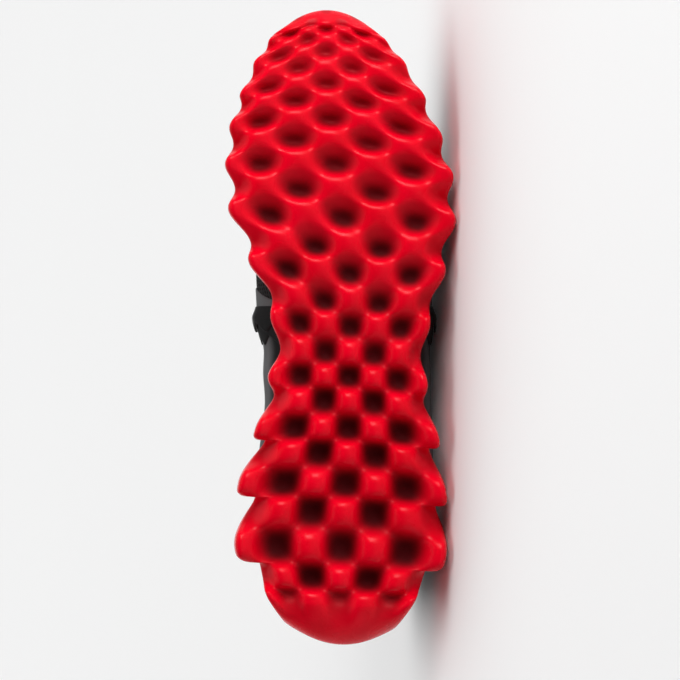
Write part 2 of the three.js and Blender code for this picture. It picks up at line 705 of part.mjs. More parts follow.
function makeTongue() {
  const shares = upperShares.filter((share) => share >= THROAT_TOP && share < TONGUE_FRONT);
  const free = ridgePoint(outerForm, THROAT_TOP).sub(ridgePoint(outerForm, shares[2])).normalize();
  const steps = [TONGUE_STEP, TONGUE_STEP / 2];
  return walledSheet(shares.length + steps.length, TONGUE_COLUMNS.length, (r, c, depth) => {
    const share = shares[Math.max(r - steps.length, 0)];
    const side = TONGUE_COLUMNS[c] < 0 ? 'inner' : 'outer';
    const taper = mix(TONGUE_TOP_SHARE, 1, smooth(THROAT_TOP, TONGUE_WIDEST, share))
      * mix(1, TONGUE_FRONT_SHARE, smooth(TONGUE_WIDEST, TONGUE_FRONT, share));
    const half = Math.abs(TONGUE_COLUMNS[c]) * taper * TONGUE_WIDTH / 2;
    const point = lastPoint(tongueForms[depth], share, side, turnAt(share, side, half));
    return r < steps.length ? point.addScaledVector(free, steps[r]) : point;
  });
}

// Lace bars: flat strips from eyestay to eyestay, pulled down onto the tongue between them
// where the throat is wide enough
const LACE_COLUMNS = [-1, -0.82, -0.6, -0.3, 0, 0.3, 0.6, 0.82, 1];
const LACE_END = 8;
const LACE_GAP = 0.8;
const LACE_DIP_SHARE = 0.4;
const LACE_DIP_WIDTHS = [10, 18];
const LACE_TOP_SHARE = 0.475;
const LACE_FRONT_SHARE = 0.685;

function makeLaceBar(number) {
  const share = mix(LACE_TOP_SHARE, LACE_FRONT_SHARE, number / (LACE_BARS - 1));
  const halfWidth = LACE_WIDTH / 2 / SOLE_LENGTH;
  const onEyestay = -OVERLAY_GAP - OVERLAY_THICKNESS - LACE_GAP;
  const onTongue = UPPER_WALL + TONGUE_GAP - 2 * FIT_GAP;
  return walledSheet(2, LACE_COLUMNS.length, (r, c, depth) => {
    const place = share + (r === 0 ? -halfWidth : halfWidth);
    const side = LACE_COLUMNS[c] < 0 ? 'inner' : 'outer';
    const section = sectionOf(outerForm, place);
    const edgeHalf = section.open * section.widths[side];
    const half = Math.abs(LACE_COLUMNS[c]) * (edgeHalf + LACE_END);
    const dip = smooth(edgeHalf, edgeHalf * LACE_DIP_SHARE, half)
      * smooth(...LACE_DIP_WIDTHS, edgeHalf);
    const low = mix(onEyestay, onTongue, dip);
    const form = lastForm(low - (depth === 0 ? LACE_THICKNESS : 0));
    return lastPoint(form, place, side, turnAt(place, side, half));
  });
}

// Rest: the shoe rolls onto its outer side until the tread's edge at the ball, the tread's
// edge at the heel and the upper all touch the floor.
function lowest(points, roll, pitch) {
  const [a, b, c] = [-Math.sin(pitch), Math.cos(pitch) * Math.sin(roll), Math.cos(pitch) * Math.cos(roll)];
  let low = Infinity;
  for (const [x, y, z] of points) low = Math.min(low, a * x + b * y + c * z);
  return low;
}

function bisect(low, high, rises) {
  let [from, to] = [low, high];
  for (let k = 0; k < 40; k += 1) {
    const middle = (from + to) / 2;
    if (rises(middle)) to = middle;
    else from = middle;
  }
  return (from + to) / 2;
}

function pointsOf(geometry) {
  const array = geometry.attributes.position.array;
  const points = [];
  for (let k = 0; k < array.length; k += 3) points.push([array[k], array[k + 1], array[k + 2]]);
  return points;
}

const MIDDLE_SHARE = 0.5;
const LEAST_ROLL = -Math.PI * 0.75;
const MOST_ROLL = -Math.PI / 2;
const MOST_PITCH = 0.15;

function restPose(outsole, others) {
  const sole = pointsOf(outsole);
  const heel = sole.filter(([x]) => x < MIDDLE_SHARE * SOLE_LENGTH);
  const ball = sole.filter(([x]) => x >= MIDDLE_SHARE * SOLE_LENGTH);
  const upper = others.flatMap(pointsOf);
  const level = (roll) => bisect(-MOST_PITCH, MOST_PITCH, (pitch) => (
    lowest(ball, roll, pitch) < lowest(heel, roll, pitch)));
  const roll = bisect(LEAST_ROLL, MOST_ROLL, (angle) => (
    lowest(upper, angle, level(angle)) > lowest(heel, angle, level(angle))));
  const pitch = level(roll);
  return { roll, pitch, floor: lowest(heel, roll, pitch) };
}

// Takes off what lies below the floor, so that the shoe rests on small flats
const CUTTER = 1000;

function flattened(geometry, matrix) {
  const box = new THREE.BoxGeometry(CUTTER, CUTTER, CUTTER);
  box.translate(0, 0, -CUTTER / 2);
  box.applyMatrix4(matrix.clone().invert());
  return fromManifold(toManifold(geometry).subtract(toManifold(box)));
}

function toManifold(geometry) {
  const bare = geometry.clone();
  bare.deleteAttribute('normal');
  bare.deleteAttribute('uv');
  const merged = mergeVertices(bare, 1e-3);
  return new wasm.Manifold(new wasm.Mesh({
    numProp: 3,
    vertProperties: new Float32Array(merged.attributes.position.array),
    triVerts: new Uint32Array(merged.index.array),
  }));
}

function fromManifold(solid) {
  const mesh = solid.getMesh();
  const geometry = new THREE.BufferGeometry();
  geometry.setAttribute('position', new THREE.Float32BufferAttribute(mesh.vertProperties, 3));
  geometry.setIndex(Array.from(mesh.triVerts));
  return geometry;
}

// Assembly
const RED_RUBBER = new THREE.MeshStandardMaterial({ color: 0xd8001e, roughness: 0.35 });
const BLACK_MESH = new THREE.MeshStandardMaterial({ color: 0x1b1b1d, roughness: 0.9 });
const GREY_LEATHER = new THREE.MeshStandardMaterial({ color: 0x3a3a3d, roughness: 0.45 });
const BLACK_LINING = new THREE.MeshStandardMaterial({ color: 0x141415, roughness: 0.95 });
const LACE_WEAVE = new THREE.MeshStandardMaterial({ color: 0x101011, roughness: 0.85 });

const pieces = [
  { name: 'outsole', geometry: makeOutsole(), material: RED_RUBBER },
  { name: 'insole', geometry: makeInsole(), material: BLACK_LINING },
  { name: 'upper', geometry: makeUpper(), material: BLACK_MESH },
  { name: 'tongue', geometry: makeTongue(), material: BLACK_MESH },
  { name: 'eyestay_inner', geometry: makeEyestay('inner'), material: GREY_LEATHER },
  { name: 'eyestay_outer', geometry: makeEyestay('outer'), material: GREY_LEATHER },
  { name: 'overlay_inner', geometry: makeSideOverlay('inner'), material: GREY_LEATHER },
  { name: 'overlay_outer', geometry: makeSideOverlay('outer'), material: GREY_LEATHER },
  { name: 'heel_counter', geometry: makeHeelCounter(), material: GREY_LEATHER },
];
for (let number = 0; number < LACE_BARS; number += 1) {
  pieces.push({ name: `lace_bar_${number + 1}`, geometry: makeLaceBar(number), material: LACE_WEAVE });
}

const pose = restPose(pieces[0].geometry, pieces.slice(1).map((piece) => piece.geometry));
const shoe = new THREE.Group();
shoe.rotation.set(pose.roll, pose.pitch, 0, 'YXZ');
shoe.position.z = -pose.floor - FLOOR_FLAT;
shoe.updateMatrixWorld(true);
for (const { name, geometry, material } of pieces) {
  const mesh = new THREE.Mesh(flattened(geometry, shoe.matrixWorld), material);
  mesh.name = name;
  shoe.add(mesh);
}

const bounds = new THREE.Box3().setFromObject(shoe, true);
const sneaker = new THREE.Group();
sneaker.position.set(-(bounds.min.x + bounds.max.x) / 2, -(bounds.min.y + bounds.max.y) / 2, 0);
sneaker.add(shoe);

export default sneaker;
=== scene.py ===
# Left low-cut sneaker with a sculpted red rubber sole, lying on its outer side.
# The pieces are worked out standing, in millimetres: x runs from the heel to the toe, y to
# the outer side, z up from the tread plane. A matrix taken from a mount of the frame then
# puts each point where the shoe lies, in metres.

import json
import math

import bpy
import numpy as np
from mathutils import Matrix, Vector


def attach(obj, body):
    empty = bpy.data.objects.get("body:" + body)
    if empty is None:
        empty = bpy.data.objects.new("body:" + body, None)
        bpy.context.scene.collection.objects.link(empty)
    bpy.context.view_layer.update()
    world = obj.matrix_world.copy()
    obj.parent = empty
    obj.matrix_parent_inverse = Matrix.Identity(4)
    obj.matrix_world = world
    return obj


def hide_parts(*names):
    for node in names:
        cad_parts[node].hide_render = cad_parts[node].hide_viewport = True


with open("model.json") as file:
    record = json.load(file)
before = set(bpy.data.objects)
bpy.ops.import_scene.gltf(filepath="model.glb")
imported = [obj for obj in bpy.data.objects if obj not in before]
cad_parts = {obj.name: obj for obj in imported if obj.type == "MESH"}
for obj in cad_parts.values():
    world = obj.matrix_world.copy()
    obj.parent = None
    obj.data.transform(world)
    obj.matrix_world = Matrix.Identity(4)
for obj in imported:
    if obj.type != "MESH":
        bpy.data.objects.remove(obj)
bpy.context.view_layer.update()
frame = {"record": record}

# Driving sizes, in millimetres
SOLE_LENGTH = 306
BALL_WIDTH = 111
HEEL_STACK = 21
BALL_STACK = 13
TOE_SPRING = 17
ARCH_LIFT = 3
HEEL_TREAD = 12
BALL_TREAD = 8
TOE_TREAD = 4
HEEL_TURN_UP = 15
TOE_TURN_UP = 5
HEEL_CUP = 13
BALL_CUP = 9
CUP_WALL = 3
RIM_INSET = 1.5
INSTEP_HEIGHT = 92
HEEL_HEIGHT = 90
ANKLE_HEIGHT = 70
TOE_BOX_HEIGHT = 52
UPPER_WALL = 2.2
INSOLE_THICKNESS = 4
TONGUE_THICKNESS = 5
TONGUE_WIDTH = 50
TONGUE_STEP = 24
OVERLAY_THICKNESS = 1.4
LACE_WIDTH = 7
LACE_THICKNESS = 1.6
FIT_GAP = 0.3
CUP_GAP = 0.8
OVERLAY_GAP = 0.4
INSOLE_GAP = 1.0

# Tread rows from the toe end to the heel end. along and bow are shares of the sole's length,
# the rest of the ball's width. Even rows have a pit beside the middle, odd rows a pit on it.
TREAD_COLUMNS = ("along", "bow", "middle", "pitch", "inner", "outer")
TREAD_ROWS = [
    (1.000, 0.027, -0.058, 0.061, 0.180, 0.186),
    (0.979, 0.018, -0.058, 0.067, 0.227, 0.227),
    (0.968, 0.017, -0.061, 0.077, 0.247, 0.260),
    (0.953, 0.017, -0.054, 0.085, 0.266, 0.280),
    (0.933, 0.017, -0.061, 0.098, 0.312, 0.342),
    (0.909, 0.017, -0.063, 0.114, 0.318, 0.369),
    (0.883, 0.019, -0.060, 0.125, 0.373, 0.429),
    (0.856, 0.016, -0.052, 0.140, 0.376, 0.427),
    (0.827, 0.019, -0.043, 0.151, 0.436, 0.485),
    (0.794, 0.017, -0.037, 0.162, 0.425, 0.477),
    (0.758, 0.013, -0.022, 0.163, 0.476, 0.514),
    (0.716, 0.006, -0.012, 0.165, 0.443, 0.477),
    (0.675, 0.003, 0.009, 0.160, 0.492, 0.494),
    (0.627, 0.000, 0.034, 0.142, 0.423, 0.406),
    (0.587, -0.004, 0.039, 0.133, 0.433, 0.418),
    (0.540, -0.004, 0.050, 0.119, 0.347, 0.340),
    (0.502, -0.004, 0.045, 0.110, 0.346, 0.345),
    (0.459, -0.002, 0.043, 0.106, 0.302, 0.306),
    (0.422, 0.006, 0.039, 0.105, 0.352, 0.342),
    (0.384, 0.006, 0.038, 0.107, 0.319, 0.320),
    (0.340, 0.006, 0.036, 0.113, 0.404, 0.394),
    (0.302, 0.006, 0.031, 0.121, 0.371, 0.362),
    (0.253, 0.006, 0.024, 0.131, 0.467, 0.439),
    (0.210, 0.006, 0.012, 0.134, 0.388, 0.402),
    (0.154, 0.006, 0.005, 0.138, 0.465, 0.459),
    (0.105, 0.003, -0.001, 0.122, 0.336, 0.352),
    (0.065, -0.006, -0.005, 0.107, 0.308, 0.320),
    (0.000, -0.031, 0.000, 0.078, 0.243, 0.243),
]
tread = {name: np.array(values) for name, values in zip(TREAD_COLUMNS, zip(*TREAD_ROWS))}
FIRST_ROW = -1
LAST_ROW = FIRST_ROW + len(TREAD_ROWS) - 1
EDGE_COLUMN = 3
FIRST_SPIKE = 3
LAST_SPIKE = 23
FIRST_FIN = 19
SPIKES = range(FIRST_SPIKE, LAST_SPIKE + 1, 2)

# Sections of the upper from the heel to the toe, as shares: the place, each side's width, the
# height of the widest line and the throat's width. round is the power of the section's curve.
SECTION_COLUMNS = ("at", "inner", "outer", "waist", "open", "round", "top", "of")
UPPER_SECTIONS = [
    (0.00, 1.00, 1.00, 0.36, 0.84, 2.2, 1.00, HEEL_HEIGHT),
    (0.05, 1.00, 1.00, 0.36, 0.82, 2.2, 0.97, HEEL_HEIGHT),
    (0.14, 1.00, 1.02, 0.36, 0.80, 2.2, 1.07, ANKLE_HEIGHT),
    (0.25, 1.08, 1.10, 0.36, 0.76, 2.1, 1.00, ANKLE_HEIGHT),
    (0.34, 1.23, 1.24, 0.34, 0.66, 2.0, 1.06, ANKLE_HEIGHT),
    (0.41, 1.36, 1.31, 0.32, 0.50, 2.0, 0.94, INSTEP_HEIGHT),
    (0.45, 1.42, 1.31, 0.33, 0.42, 2.0, 1.00, INSTEP_HEIGHT),
    (0.54, 1.42, 1.20, 0.34, 0.34, 2.1, 0.90, INSTEP_HEIGHT),
    (0.63, 1.14, 1.05, 0.36, 0.25, 2.2, 0.79, INSTEP_HEIGHT),
    (0.70, 1.05, 1.01, 0.36, 0.16, 2.3, 0.72, INSTEP_HEIGHT),
    (0.80, 1.04, 1.01, 0.38, 0.00, 2.4, 1.13, TOE_BOX_HEIGHT),
    (0.90, 1.02, 1.02, 0.42, 0.00, 2.5, 1.04, TOE_BOX_HEIGHT),
    (1.00, 1.00, 1.00, 0.42, 0.00, 2.5, 1.00, TOE_BOX_HEIGHT),
]
sections = {name: np.array(values) for name, values in zip(SECTION_COLUMNS, zip(*UPPER_SECTIONS))}
sections["top"] = sections["top"] * sections["of"]
THROAT_FRONT = 0.715
THROAT_TOP = 0.45
LACE_BARS = 6
SIDES = ("inner", "outer")


def mix(a, b, share):
    return a + (b - a) * share


def smooth(low, high, value):
    share = np.clip((value - low) / (high - low), 0, 1)
    return share * share * (3 - 2 * share)


def between(ends, value):
    """Rises from 0 to 1 between the first two ends and falls between the others."""
    low, full, fade, out = ends
    return smooth(low, full, value) * (1 - smooth(fade, out, value))


def curve(values, row):
    """Smooth curve through the values of the tread's rows."""
    place = row - FIRST_ROW
    last = len(values) - 1
    k = np.clip(np.floor(place).astype(int), 0, last - 1)
    f = place - k
    a, b, c, d = (values[np.clip(k + step, 0, last)] for step in (-1, 0, 1, 2))
    return b + 0.5 * f * (c - a + f * (2 * a - 5 * b + 4 * c - d + f * (3 * (b - c) + d - a)))


def shoulder(distance, radius):
    """0 at an edge and 1 from a radius inside it, along a quarter of a circle."""
    return np.sqrt(1 - (1 - np.clip(distance / radius, 0, 1)) ** 2)


# The lying pose: where the frame's tread mount holds one known spot of the standing shoe
BALL_SPOT = Vector((191.9, 4.8, 0.0))
MM = 0.001


def lying_matrix():
    mount = next(m for m in frame["record"]["mounts"] if m["name"] == "tread_ball")
    down = Vector(mount["axis"]).normalized()
    pitch = math.atan2(down.x, down.z)
    ahead = Vector((math.cos(pitch), 0, -math.sin(pitch)))
    up = -down
    turn = Matrix((ahead, up.cross(ahead), up)).transposed()
    place = Vector(mount["pos_m"]) - turn @ BALL_SPOT * MM
    return Matrix.Translation(place) @ turn.to_4x4() @ Matrix.Scale(MM, 4)


lying = lying_matrix()
lying_rows = np.array(lying)


def to_world(points):
    return points @ lying_rows[:3, :3].T + lying_rows[:3, 3]


# Tread plan
FIN_LEAD = 1.5
FIN_TIP = 0.05
FIN_BACK = 0.5
FIN_ROUND = 4

# What changes along the tread: its value before, its value after, and the rows between
ALONG_TREAD = {
    "slope": (0, 0.05, 3, 8),
    "toe_depth": (0, TOE_TREAD, -1, 1.2),
    "ball_depth": (0, BALL_TREAD - TOE_TREAD, 2, 8),
    "heel_depth": (0, HEEL_TREAD - BALL_TREAD, 14, 20),
    "depth_at_end": (1, 0, LAST_ROW - 2.0, LAST_ROW - 0.25),
    "skew": (0.175, 0.038, 11, 18),
    "skew_at_toe": (0, 1, 0, 4),
    "hardness": (0.4, 1.15, 10, 19),
    "blur": (1.5, 0.8, 9, 17),
    # dark and dark_at_end: how strong the painted shade in the pits is along the tread
    "dark": (0.4, 0.97, 2, 13),
    "dark_at_end": (1, 0, LAST_ROW - 2, LAST_ROW),
}


def along_tread(name, row):
    before, after, first, last = ALONG_TREAD[name]
    return mix(before, after, smooth(first, last, row))


def notch_line(name):
    places = tread[name].copy()
    for spike in SPIKES:
        k = spike - FIRST_ROW
        places[k] = (tread[name][k - 1] + tread[name][k + 1]) / 2
    return places


notch_lines = {side: notch_line(side) for side in SIDES}


def spike_share(row, spike):
    step = row - spike
    if spike < FIRST_FIN:
        return np.where(abs(step) < 1, 0.5 + 0.5 * np.cos(np.pi * step), 0)
    rising = np.sin(np.pi / 2 * np.clip((step + FIN_LEAD) / (FIN_TIP + FIN_LEAD), 0, 1)) ** 2
    falling = np.clip((step - FIN_TIP) / (FIN_BACK - FIN_TIP), 0, 1)
    return np.where(step < FIN_TIP, rising, (1 - falling ** FIN_ROUND) ** (1 / FIN_ROUND))


def spike_reach(name, row):
    reach = np.zeros_like(row)
    for spike in SPIKES:
        k = spike - FIRST_ROW
        reach += (tread[name][k] - notch_lines[name][k]) * spike_share(row, spike)
    return reach


def cell_width(column, row, reach):
    """Width of a column's own cell: the pitch, or past the second column the way to the edge."""
    pitch = curve(tread["pitch"], row)
    edges = [curve(notch_lines[side], row) + reach * spike_reach(side, row)
             for side in SIDES]
    return pitch, np.where(column < 0, *edges) - 2 * pitch


def tread_plan(column, row, reach):
    column, row, reach = np.broadcast_arrays(column, row, reach)
    count = abs(column)
    pitch, outside = cell_width(column, row, reach)
    offset = np.sign(column) * BALL_WIDTH
    offset = offset * (np.minimum(count, 2) * pitch + np.maximum(count - 2, 0) * outside)
    bow = curve(tread["bow"], row) * (column / EDGE_COLUMN) ** 2
    x = (curve(tread["along"], row) - bow) * SOLE_LENGTH
    x = x - along_tread("slope", row) * offset
    return x, curve(tread["middle"], row) * BALL_WIDTH + offset


# Heights along the sole. The shares are places along it.
SPRING_START = 0.70
SPRING_POWER = 2.2
ARCH_START = 0.32
ARCH_END = 0.62
STACK_CHANGE = (0.25, 0.62)
CUP_CHANGE = (0.2, 0.55)
TOE_RIM = (0.85, 1)
TOE_RIM_RISE = 1


def spring(x):
    share = np.clip((x / SOLE_LENGTH - SPRING_START) / (1 - SPRING_START), 0, 1)
    return TOE_SPRING * share ** SPRING_POWER


def tread_lift(x, row):
    arch = np.clip((x / SOLE_LENGTH - ARCH_START) / (ARCH_END - ARCH_START), 0, 1)
    heel_end = np.clip(row - (LAST_ROW - 1), 0, 1)
    toe_end = np.clip(FIRST_ROW + 1 - row, 0, 1)
    ends = HEEL_TURN_UP * heel_end ** 1.5 + TOE_TURN_UP * toe_end ** 1.5
    return spring(x) + ARCH_LIFT * np.sin(np.pi * arch) ** 2 + ends


def tread_depth(row):
    depth = sum(along_tread(name, row) for name in ("toe_depth", "ball_depth", "heel_depth"))
    return depth * along_tread("depth_at_end", row)


def skewed_row(column, row):
    """The row, shifted so that each pit lies nearer the heel and each bump nearer the toe."""
    skew = along_tread("skew", row) * along_tread("skew_at_toe", row)
    return row + skew * np.cos(np.pi * column) * np.cos(np.pi * row)


def tread_wave(column, row):
    """1 on a bump and -1 in a pit: round under the forefoot, squarer under the heel."""
    hard = along_tread("hardness", row)
    across = np.cos(np.pi * column)
    along = np.cos(np.pi * skewed_row(column, row))
    return np.tanh(hard * across) * np.tanh(hard * along) / np.tanh(hard) ** 2


def pit_distance(column, row):
    """Distance to the nearest pit, in cells."""
    a, b = (column + row - 1) / 2, (column - row - 1) / 2
    a, b = a - np.round(a), b - np.round(b)
    return np.hypot(a + b, a - b)


def footbed(x):
    return mix(HEEL_STACK, BALL_STACK, smooth(*STACK_CHANGE, x / SOLE_LENGTH)) + spring(x)


def rim_height(x):
    share = x / SOLE_LENGTH
    cup = mix(HEEL_CUP, BALL_CUP, smooth(*CUP_CHANGE, share))
    return footbed(x) + cup + TOE_RIM_RISE * smooth(*TOE_RIM, share)


# The sole's edge as one closed line. p counts cells: outer side, heel end, inner side, toe.
ROW_SPAN = LAST_ROW - FIRST_ROW
COLUMN_SPAN = 2 * EDGE_COLUMN
PERIMETER = 2 * (ROW_SPAN + COLUMN_SPAN)


def edge_place(p):
    p = np.mod(p, PERIMETER)
    heel = p - ROW_SPAN
    inner = heel - COLUMN_SPAN
    toe = inner - ROW_SPAN
    parts = [p < ROW_SPAN, heel < COLUMN_SPAN, inner < ROW_SPAN]
    column = np.select(parts, [EDGE_COLUMN, EDGE_COLUMN - heel, -EDGE_COLUMN], toe - EDGE_COLUMN)
    row = np.select(parts, [FIRST_ROW + p, LAST_ROW, LAST_ROW - inner], FIRST_ROW)
    return column, row


def outline(p, distance=0.0):
    """The plain outline through the notches, drawn in by a distance."""
    before, here, after = (np.stack(tread_plan(*edge_place(p + k), 0), -1) for k in (-1, 0, 1))
    along = after - before
    inward = np.stack([-along[:, 1], along[:, 0]], -1)
    return here + distance * inward / np.hypot(*along.T)[:, None]


# Meshes. What touches the floor is pressed flat on it.
WELD = 0.002
FLOOR_GAP = 0.00002
SHARP_ANGLE = math.radians(60)


def add_object(name, data):
    made = bpy.data.objects.new(name, data)
    bpy.context.scene.collection.objects.link(made)
    return made


class Piece:
    """Collects grids of points in the shoe's own frame and makes one mesh of them."""

    def __init__(self, name):
        self.name = name
        self.points, self.uvs, self.values, self.faces = [], [], [], []
        self.count = 0

    def grid(self, points, uv=0.0, value=0.0, keep=True, closed=False, turned=False):
        rows, columns = points.shape[:2]
        index = np.arange(rows * columns).reshape(rows, columns) + self.count
        ids = np.hstack([index, index[:, :1]]) if closed else index
        quads = np.stack([ids[:-1, :-1], ids[:-1, 1:], ids[1:, 1:], ids[1:, :-1]], -1)
        quads = quads[keep].reshape(-1, 4)
        self.faces.extend((quads[:, ::-1] if turned else quads).tolist())
        self.points.append(points.reshape(-1, 3))
        self.uvs.append(np.broadcast_to(uv, (rows, columns, 2)).reshape(-1, 2))
        self.values.append(np.broadcast_to(value, (rows, columns)).reshape(-1))
        self.count += rows * columns
        return index

    def make(self, paint, nodes=(), inside=None):
        points, uvs, values = map(np.concatenate, (self.points, self.uvs, self.values))
        keys = np.round(points / WELD).astype(np.int64)
        _, first, new = np.unique(keys, axis=0, return_index=True, return_inverse=True)
        new = new.reshape(-1)
        kept = [[k for n, k in enumerate(face) if new[k] != new[face[n - 1]]]
                for face in self.faces]
        kept = [face for face in kept if len(face) > 2]
        if outward_volume(points[first][new], kept) < 0:
            kept = [face[::-1] for face in kept]
        corners = [k for face in kept for k in face]
        faces = [[int(new[k]) for k in face] for face in kept]
        mesh = bpy.data.meshes.new(self.name)
        spots = to_world(points[first])
        spots[:, 2] = np.maximum(spots[:, 2], FLOOR_GAP)
        mesh.from_pydata(spots, [], faces)
        mesh.uv_layers.new(name="UVMap").data.foreach_set("uv", uvs[corners].ravel())
        spot = mesh.attributes.new("shade", "FLOAT", "POINT")
        spot.data.foreach_set("value", values[first].astype(np.float32))
        mesh.shade_smooth()
        mesh.set_sharp_from_angle(angle=SHARP_ANGLE)
        mesh.materials.append(paint)
        if inside:
            mesh.materials.append(inside)
            marked = values[first] > 0.5
            index = np.array([all(marked[k] for k in face) for face in faces], np.int32)
            mesh.polygons.foreach_set("material_index", index)
        piece = add_object(self.name, mesh)
        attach(piece, "root")
        if nodes:
            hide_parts(*nodes)
        return piece


def outward_volume(points, faces):
    """Six times the closed volume, negative where the faces are turned inward."""
    fans = [(face[0], *face[n:n + 2]) for face in faces for n in range(1, len(face) - 1)]
    a, b, c = (points[list(corner)] for corner in zip(*fans))
    return np.sum(a * np.cross(b, c))


# Materials
class Paint:
    """A principled material and the few helpers that its nodes need."""

    def __init__(self, name, colour, roughness, **sockets):
        self.material = bpy.data.materials.new(name)
        self.material.use_nodes = True
        self.tree = self.material.node_tree
        self.shader = self.tree.nodes["Principled BSDF"]
        self.shader.inputs["Base Color"].default_value = (*colour, 1)
        self.shader.inputs["Roughness"].default_value = roughness
        for name, value in sockets.items():
            self.shader.inputs[name.replace("_", " ")].default_value = value

    def node(self, kind, links=None, **settings):
        node = self.tree.nodes.new("ShaderNode" + kind)
        for name, value in settings.items():
            setattr(node, name, value)
        for name, source in (links or {}).items():
            if isinstance(source, bpy.types.NodeSocket):
                self.tree.links.new(source, node.inputs[name])
            else:
                node.inputs[name].default_value = source
        return node

    def place(self, kind="Object"):
        return self.node("TexCoord").outputs[kind]

    def noise(self, vector, scale, detail=2.0):
        links = {"Vector": vector, "Scale": scale, "Detail": detail}
        return self.node("TexNoise", links).outputs["Fac"]

    def shade(self):
        return self.node("Attribute", attribute_name="shade").outputs["Fac"]

    def ramp(self, value, low, high, to_low=0.0, to_high=1.0):
        links = {"Value": value, "From Min": low, "From Max": high,
                 "To Min": to_low, "To Max": to_high}
        return self.node("MapRange", links).outputs["Result"]

    def blend(self, share, a, b):
        a, b = ((*value, 1) if isinstance(value, tuple) else value for value in (a, b))
        return self.node("Mix", {"Factor": share, 6: a, 7: b}, data_type="RGBA").outputs[2]

    def math(self, operation, a, b):
        return self.node("Math", {0: a, 1: b}, operation=operation).outputs[0]

    def bump(self, height, strength, distance):
        links = {"Height": height, "Strength": strength, "Distance": distance * MM}
        self.set("Normal", self.node("Bump", links).outputs["Normal"])

    def set(self, name, socket):
        self.tree.links.new(socket, self.shader.inputs[name])


RED = (0.74, 0.0, 0.014)
CLOUDY_RED = (0.66, 0.0, 0.010)
# painted shade: the colour that the bottoms of the tread's pits go over to
PAINTED_SHADE_RED = (0.035, 0.0, 0.001)
RED_SHINE = (1.0, 0.42, 0.42, 1.0)
CLOUDS = (0.3, 0.7)


def rubber_paint():
    paint = Paint("red_rubber", RED, 0.26, Specular_IOR_Level=0.22, Specular_Tint=RED_SHINE)
    place = paint.place()
    # The shade attribute paints shade into the pits: the base colour goes over to a dark red with
    # it, and the rubber is rougher there
    depth = paint.shade()
    red = paint.blend(paint.ramp(paint.noise(place, 60.0), *CLOUDS), RED, CLOUDY_RED)
    paint.set("Base Color", paint.blend(depth, red, PAINTED_SHADE_RED))
    gloss = paint.ramp(paint.noise(place, 140.0), *CLOUDS, to_low=0.22, to_high=0.31)
    paint.set("Roughness", paint.math("ADD", gloss, paint.math("MULTIPLY", depth, 0.5)))
    paint.bump(paint.noise(place, 900.0, detail=3.0), strength=0.12, distance=0.2)
    return paint.material


def knit_paint():
    paint = Paint("black_mesh", (0.012, 0.012, 0.013), 0.85, Specular_IOR_Level=0.2,
                  Sheen_Weight=0.06, Sheen_Roughness=0.5)
    uv = paint.place("UV")
    cells = paint.node("TexVoronoi", {"Vector": uv, "Scale": 520.0, "Randomness": 0.25})
    hole = paint.ramp(cells.outputs["Distance"], low=0.25, high=0.5)
    paint.set("Base Color", paint.blend(hole, (0.002, 0.002, 0.002), (0.016, 0.016, 0.017)))
    paint.bump(hole, strength=0.8, distance=0.35)
    return paint.material


def leather_paint(name, colour, dark, roughness):
    """Leather that goes over to black where a mesh's shade is 1, as along the sole."""
    paint = Paint(name, colour, roughness, Specular_IOR_Level=0.35)
    place = paint.place()
    cloud = paint.noise(place, 45.0)
    plain = paint.blend(paint.ramp(cloud, *CLOUDS), colour, dark)
    paint.set("Base Color", paint.blend(paint.shade(), plain, BLACK_DARK))
    grain = paint.node("TexVoronoi", {"Vector": place, "Scale": 1500.0})
    paint.bump(grain.outputs["Distance"], strength=0.25, distance=0.12)
    paint.set("Roughness", paint.ramp(cloud, *CLOUDS, roughness - 0.05, roughness + 0.07))
    return paint.material


def cloth_paint(name, colour, thread, scale):
    """Plain weave in the piece's own uv."""
    paint = Paint(name, colour, 0.9, Specular_IOR_Level=0.2, Sheen_Weight=0.08,
                  Sheen_Roughness=0.5)
    uv = paint.place("UV")
    warp, weft = (
        paint.node("TexWave", {"Vector": uv, "Scale": scale}, bands_direction=way).outputs["Fac"]
        for way in ("X", "Y"))
    weave = paint.math("MULTIPLY", warp, weft)
    paint.set("Base Color", paint.blend(weave, colour, thread))
    paint.bump(weave, strength=0.6, distance=0.25)
    return paint.material


# Outsole, with CELL lines to a cell. Under the forefoot a pit is part funnel, in a dish of
# painted shade, and every pit has painted shade that grows towards its bottom. Distances from a pit
# are in cells.
CELL = 16
FOREFOOT_ROWS = (0, 3, 11, 17)
PIT_POWER = 1.2
FUNNEL = (0.74, 0.05)
FUNNEL_SHARE = 0.45
PIT_SHADE = (0.15, 0.97)
DISH = (0.70, 0.44)
DISH_LEAD = 0.12
DISH_SHADE = 0.30
EDGE_FADE = (2.1, 2.8)
EDGE_LIGHT = 0.75
FIN_FINE = (0.46, 0.48, 0.493)
RIM_START = 0.3
EDGE_ROUND = 2.6
TIP_REACH = 0.90
TIP_RISE = 0.45
RIM_ROUND = 1.5
RING_RISES = (0.08, 0.16, 0.25, 0.35, 0.45, 0.55, 0.65, 0.74, 0.82, 0.90, 0.96)
LIP = [(0.0, 1.1), (0.45, 0.35), (1.5, 0.0), (2.55, 0.35), (3.0, 1.1)]
EDGE_FINE = (0.30, 0.24, 0.18, 0.13, 0.09, 0.055, 0.025)


def tread_lines():
    columns = set(np.linspace(-EDGE_COLUMN, EDGE_COLUMN, COLUMN_SPAN * CELL + 1).round(6))
    for step in EDGE_FINE:
        columns |= {round(step - EDGE_COLUMN, 6), round(EDGE_COLUMN - step, 6)}
    rows = set(np.linspace(FIRST_ROW, LAST_ROW, ROW_SPAN * CELL + 1).round(6))
    for spike in range(FIRST_FIN, LAST_SPIKE + 1, 2):
        rows |= {round(spike + step, 6) for step in FIN_FINE}
    return np.array(sorted(columns)), np.array(sorted(rows))


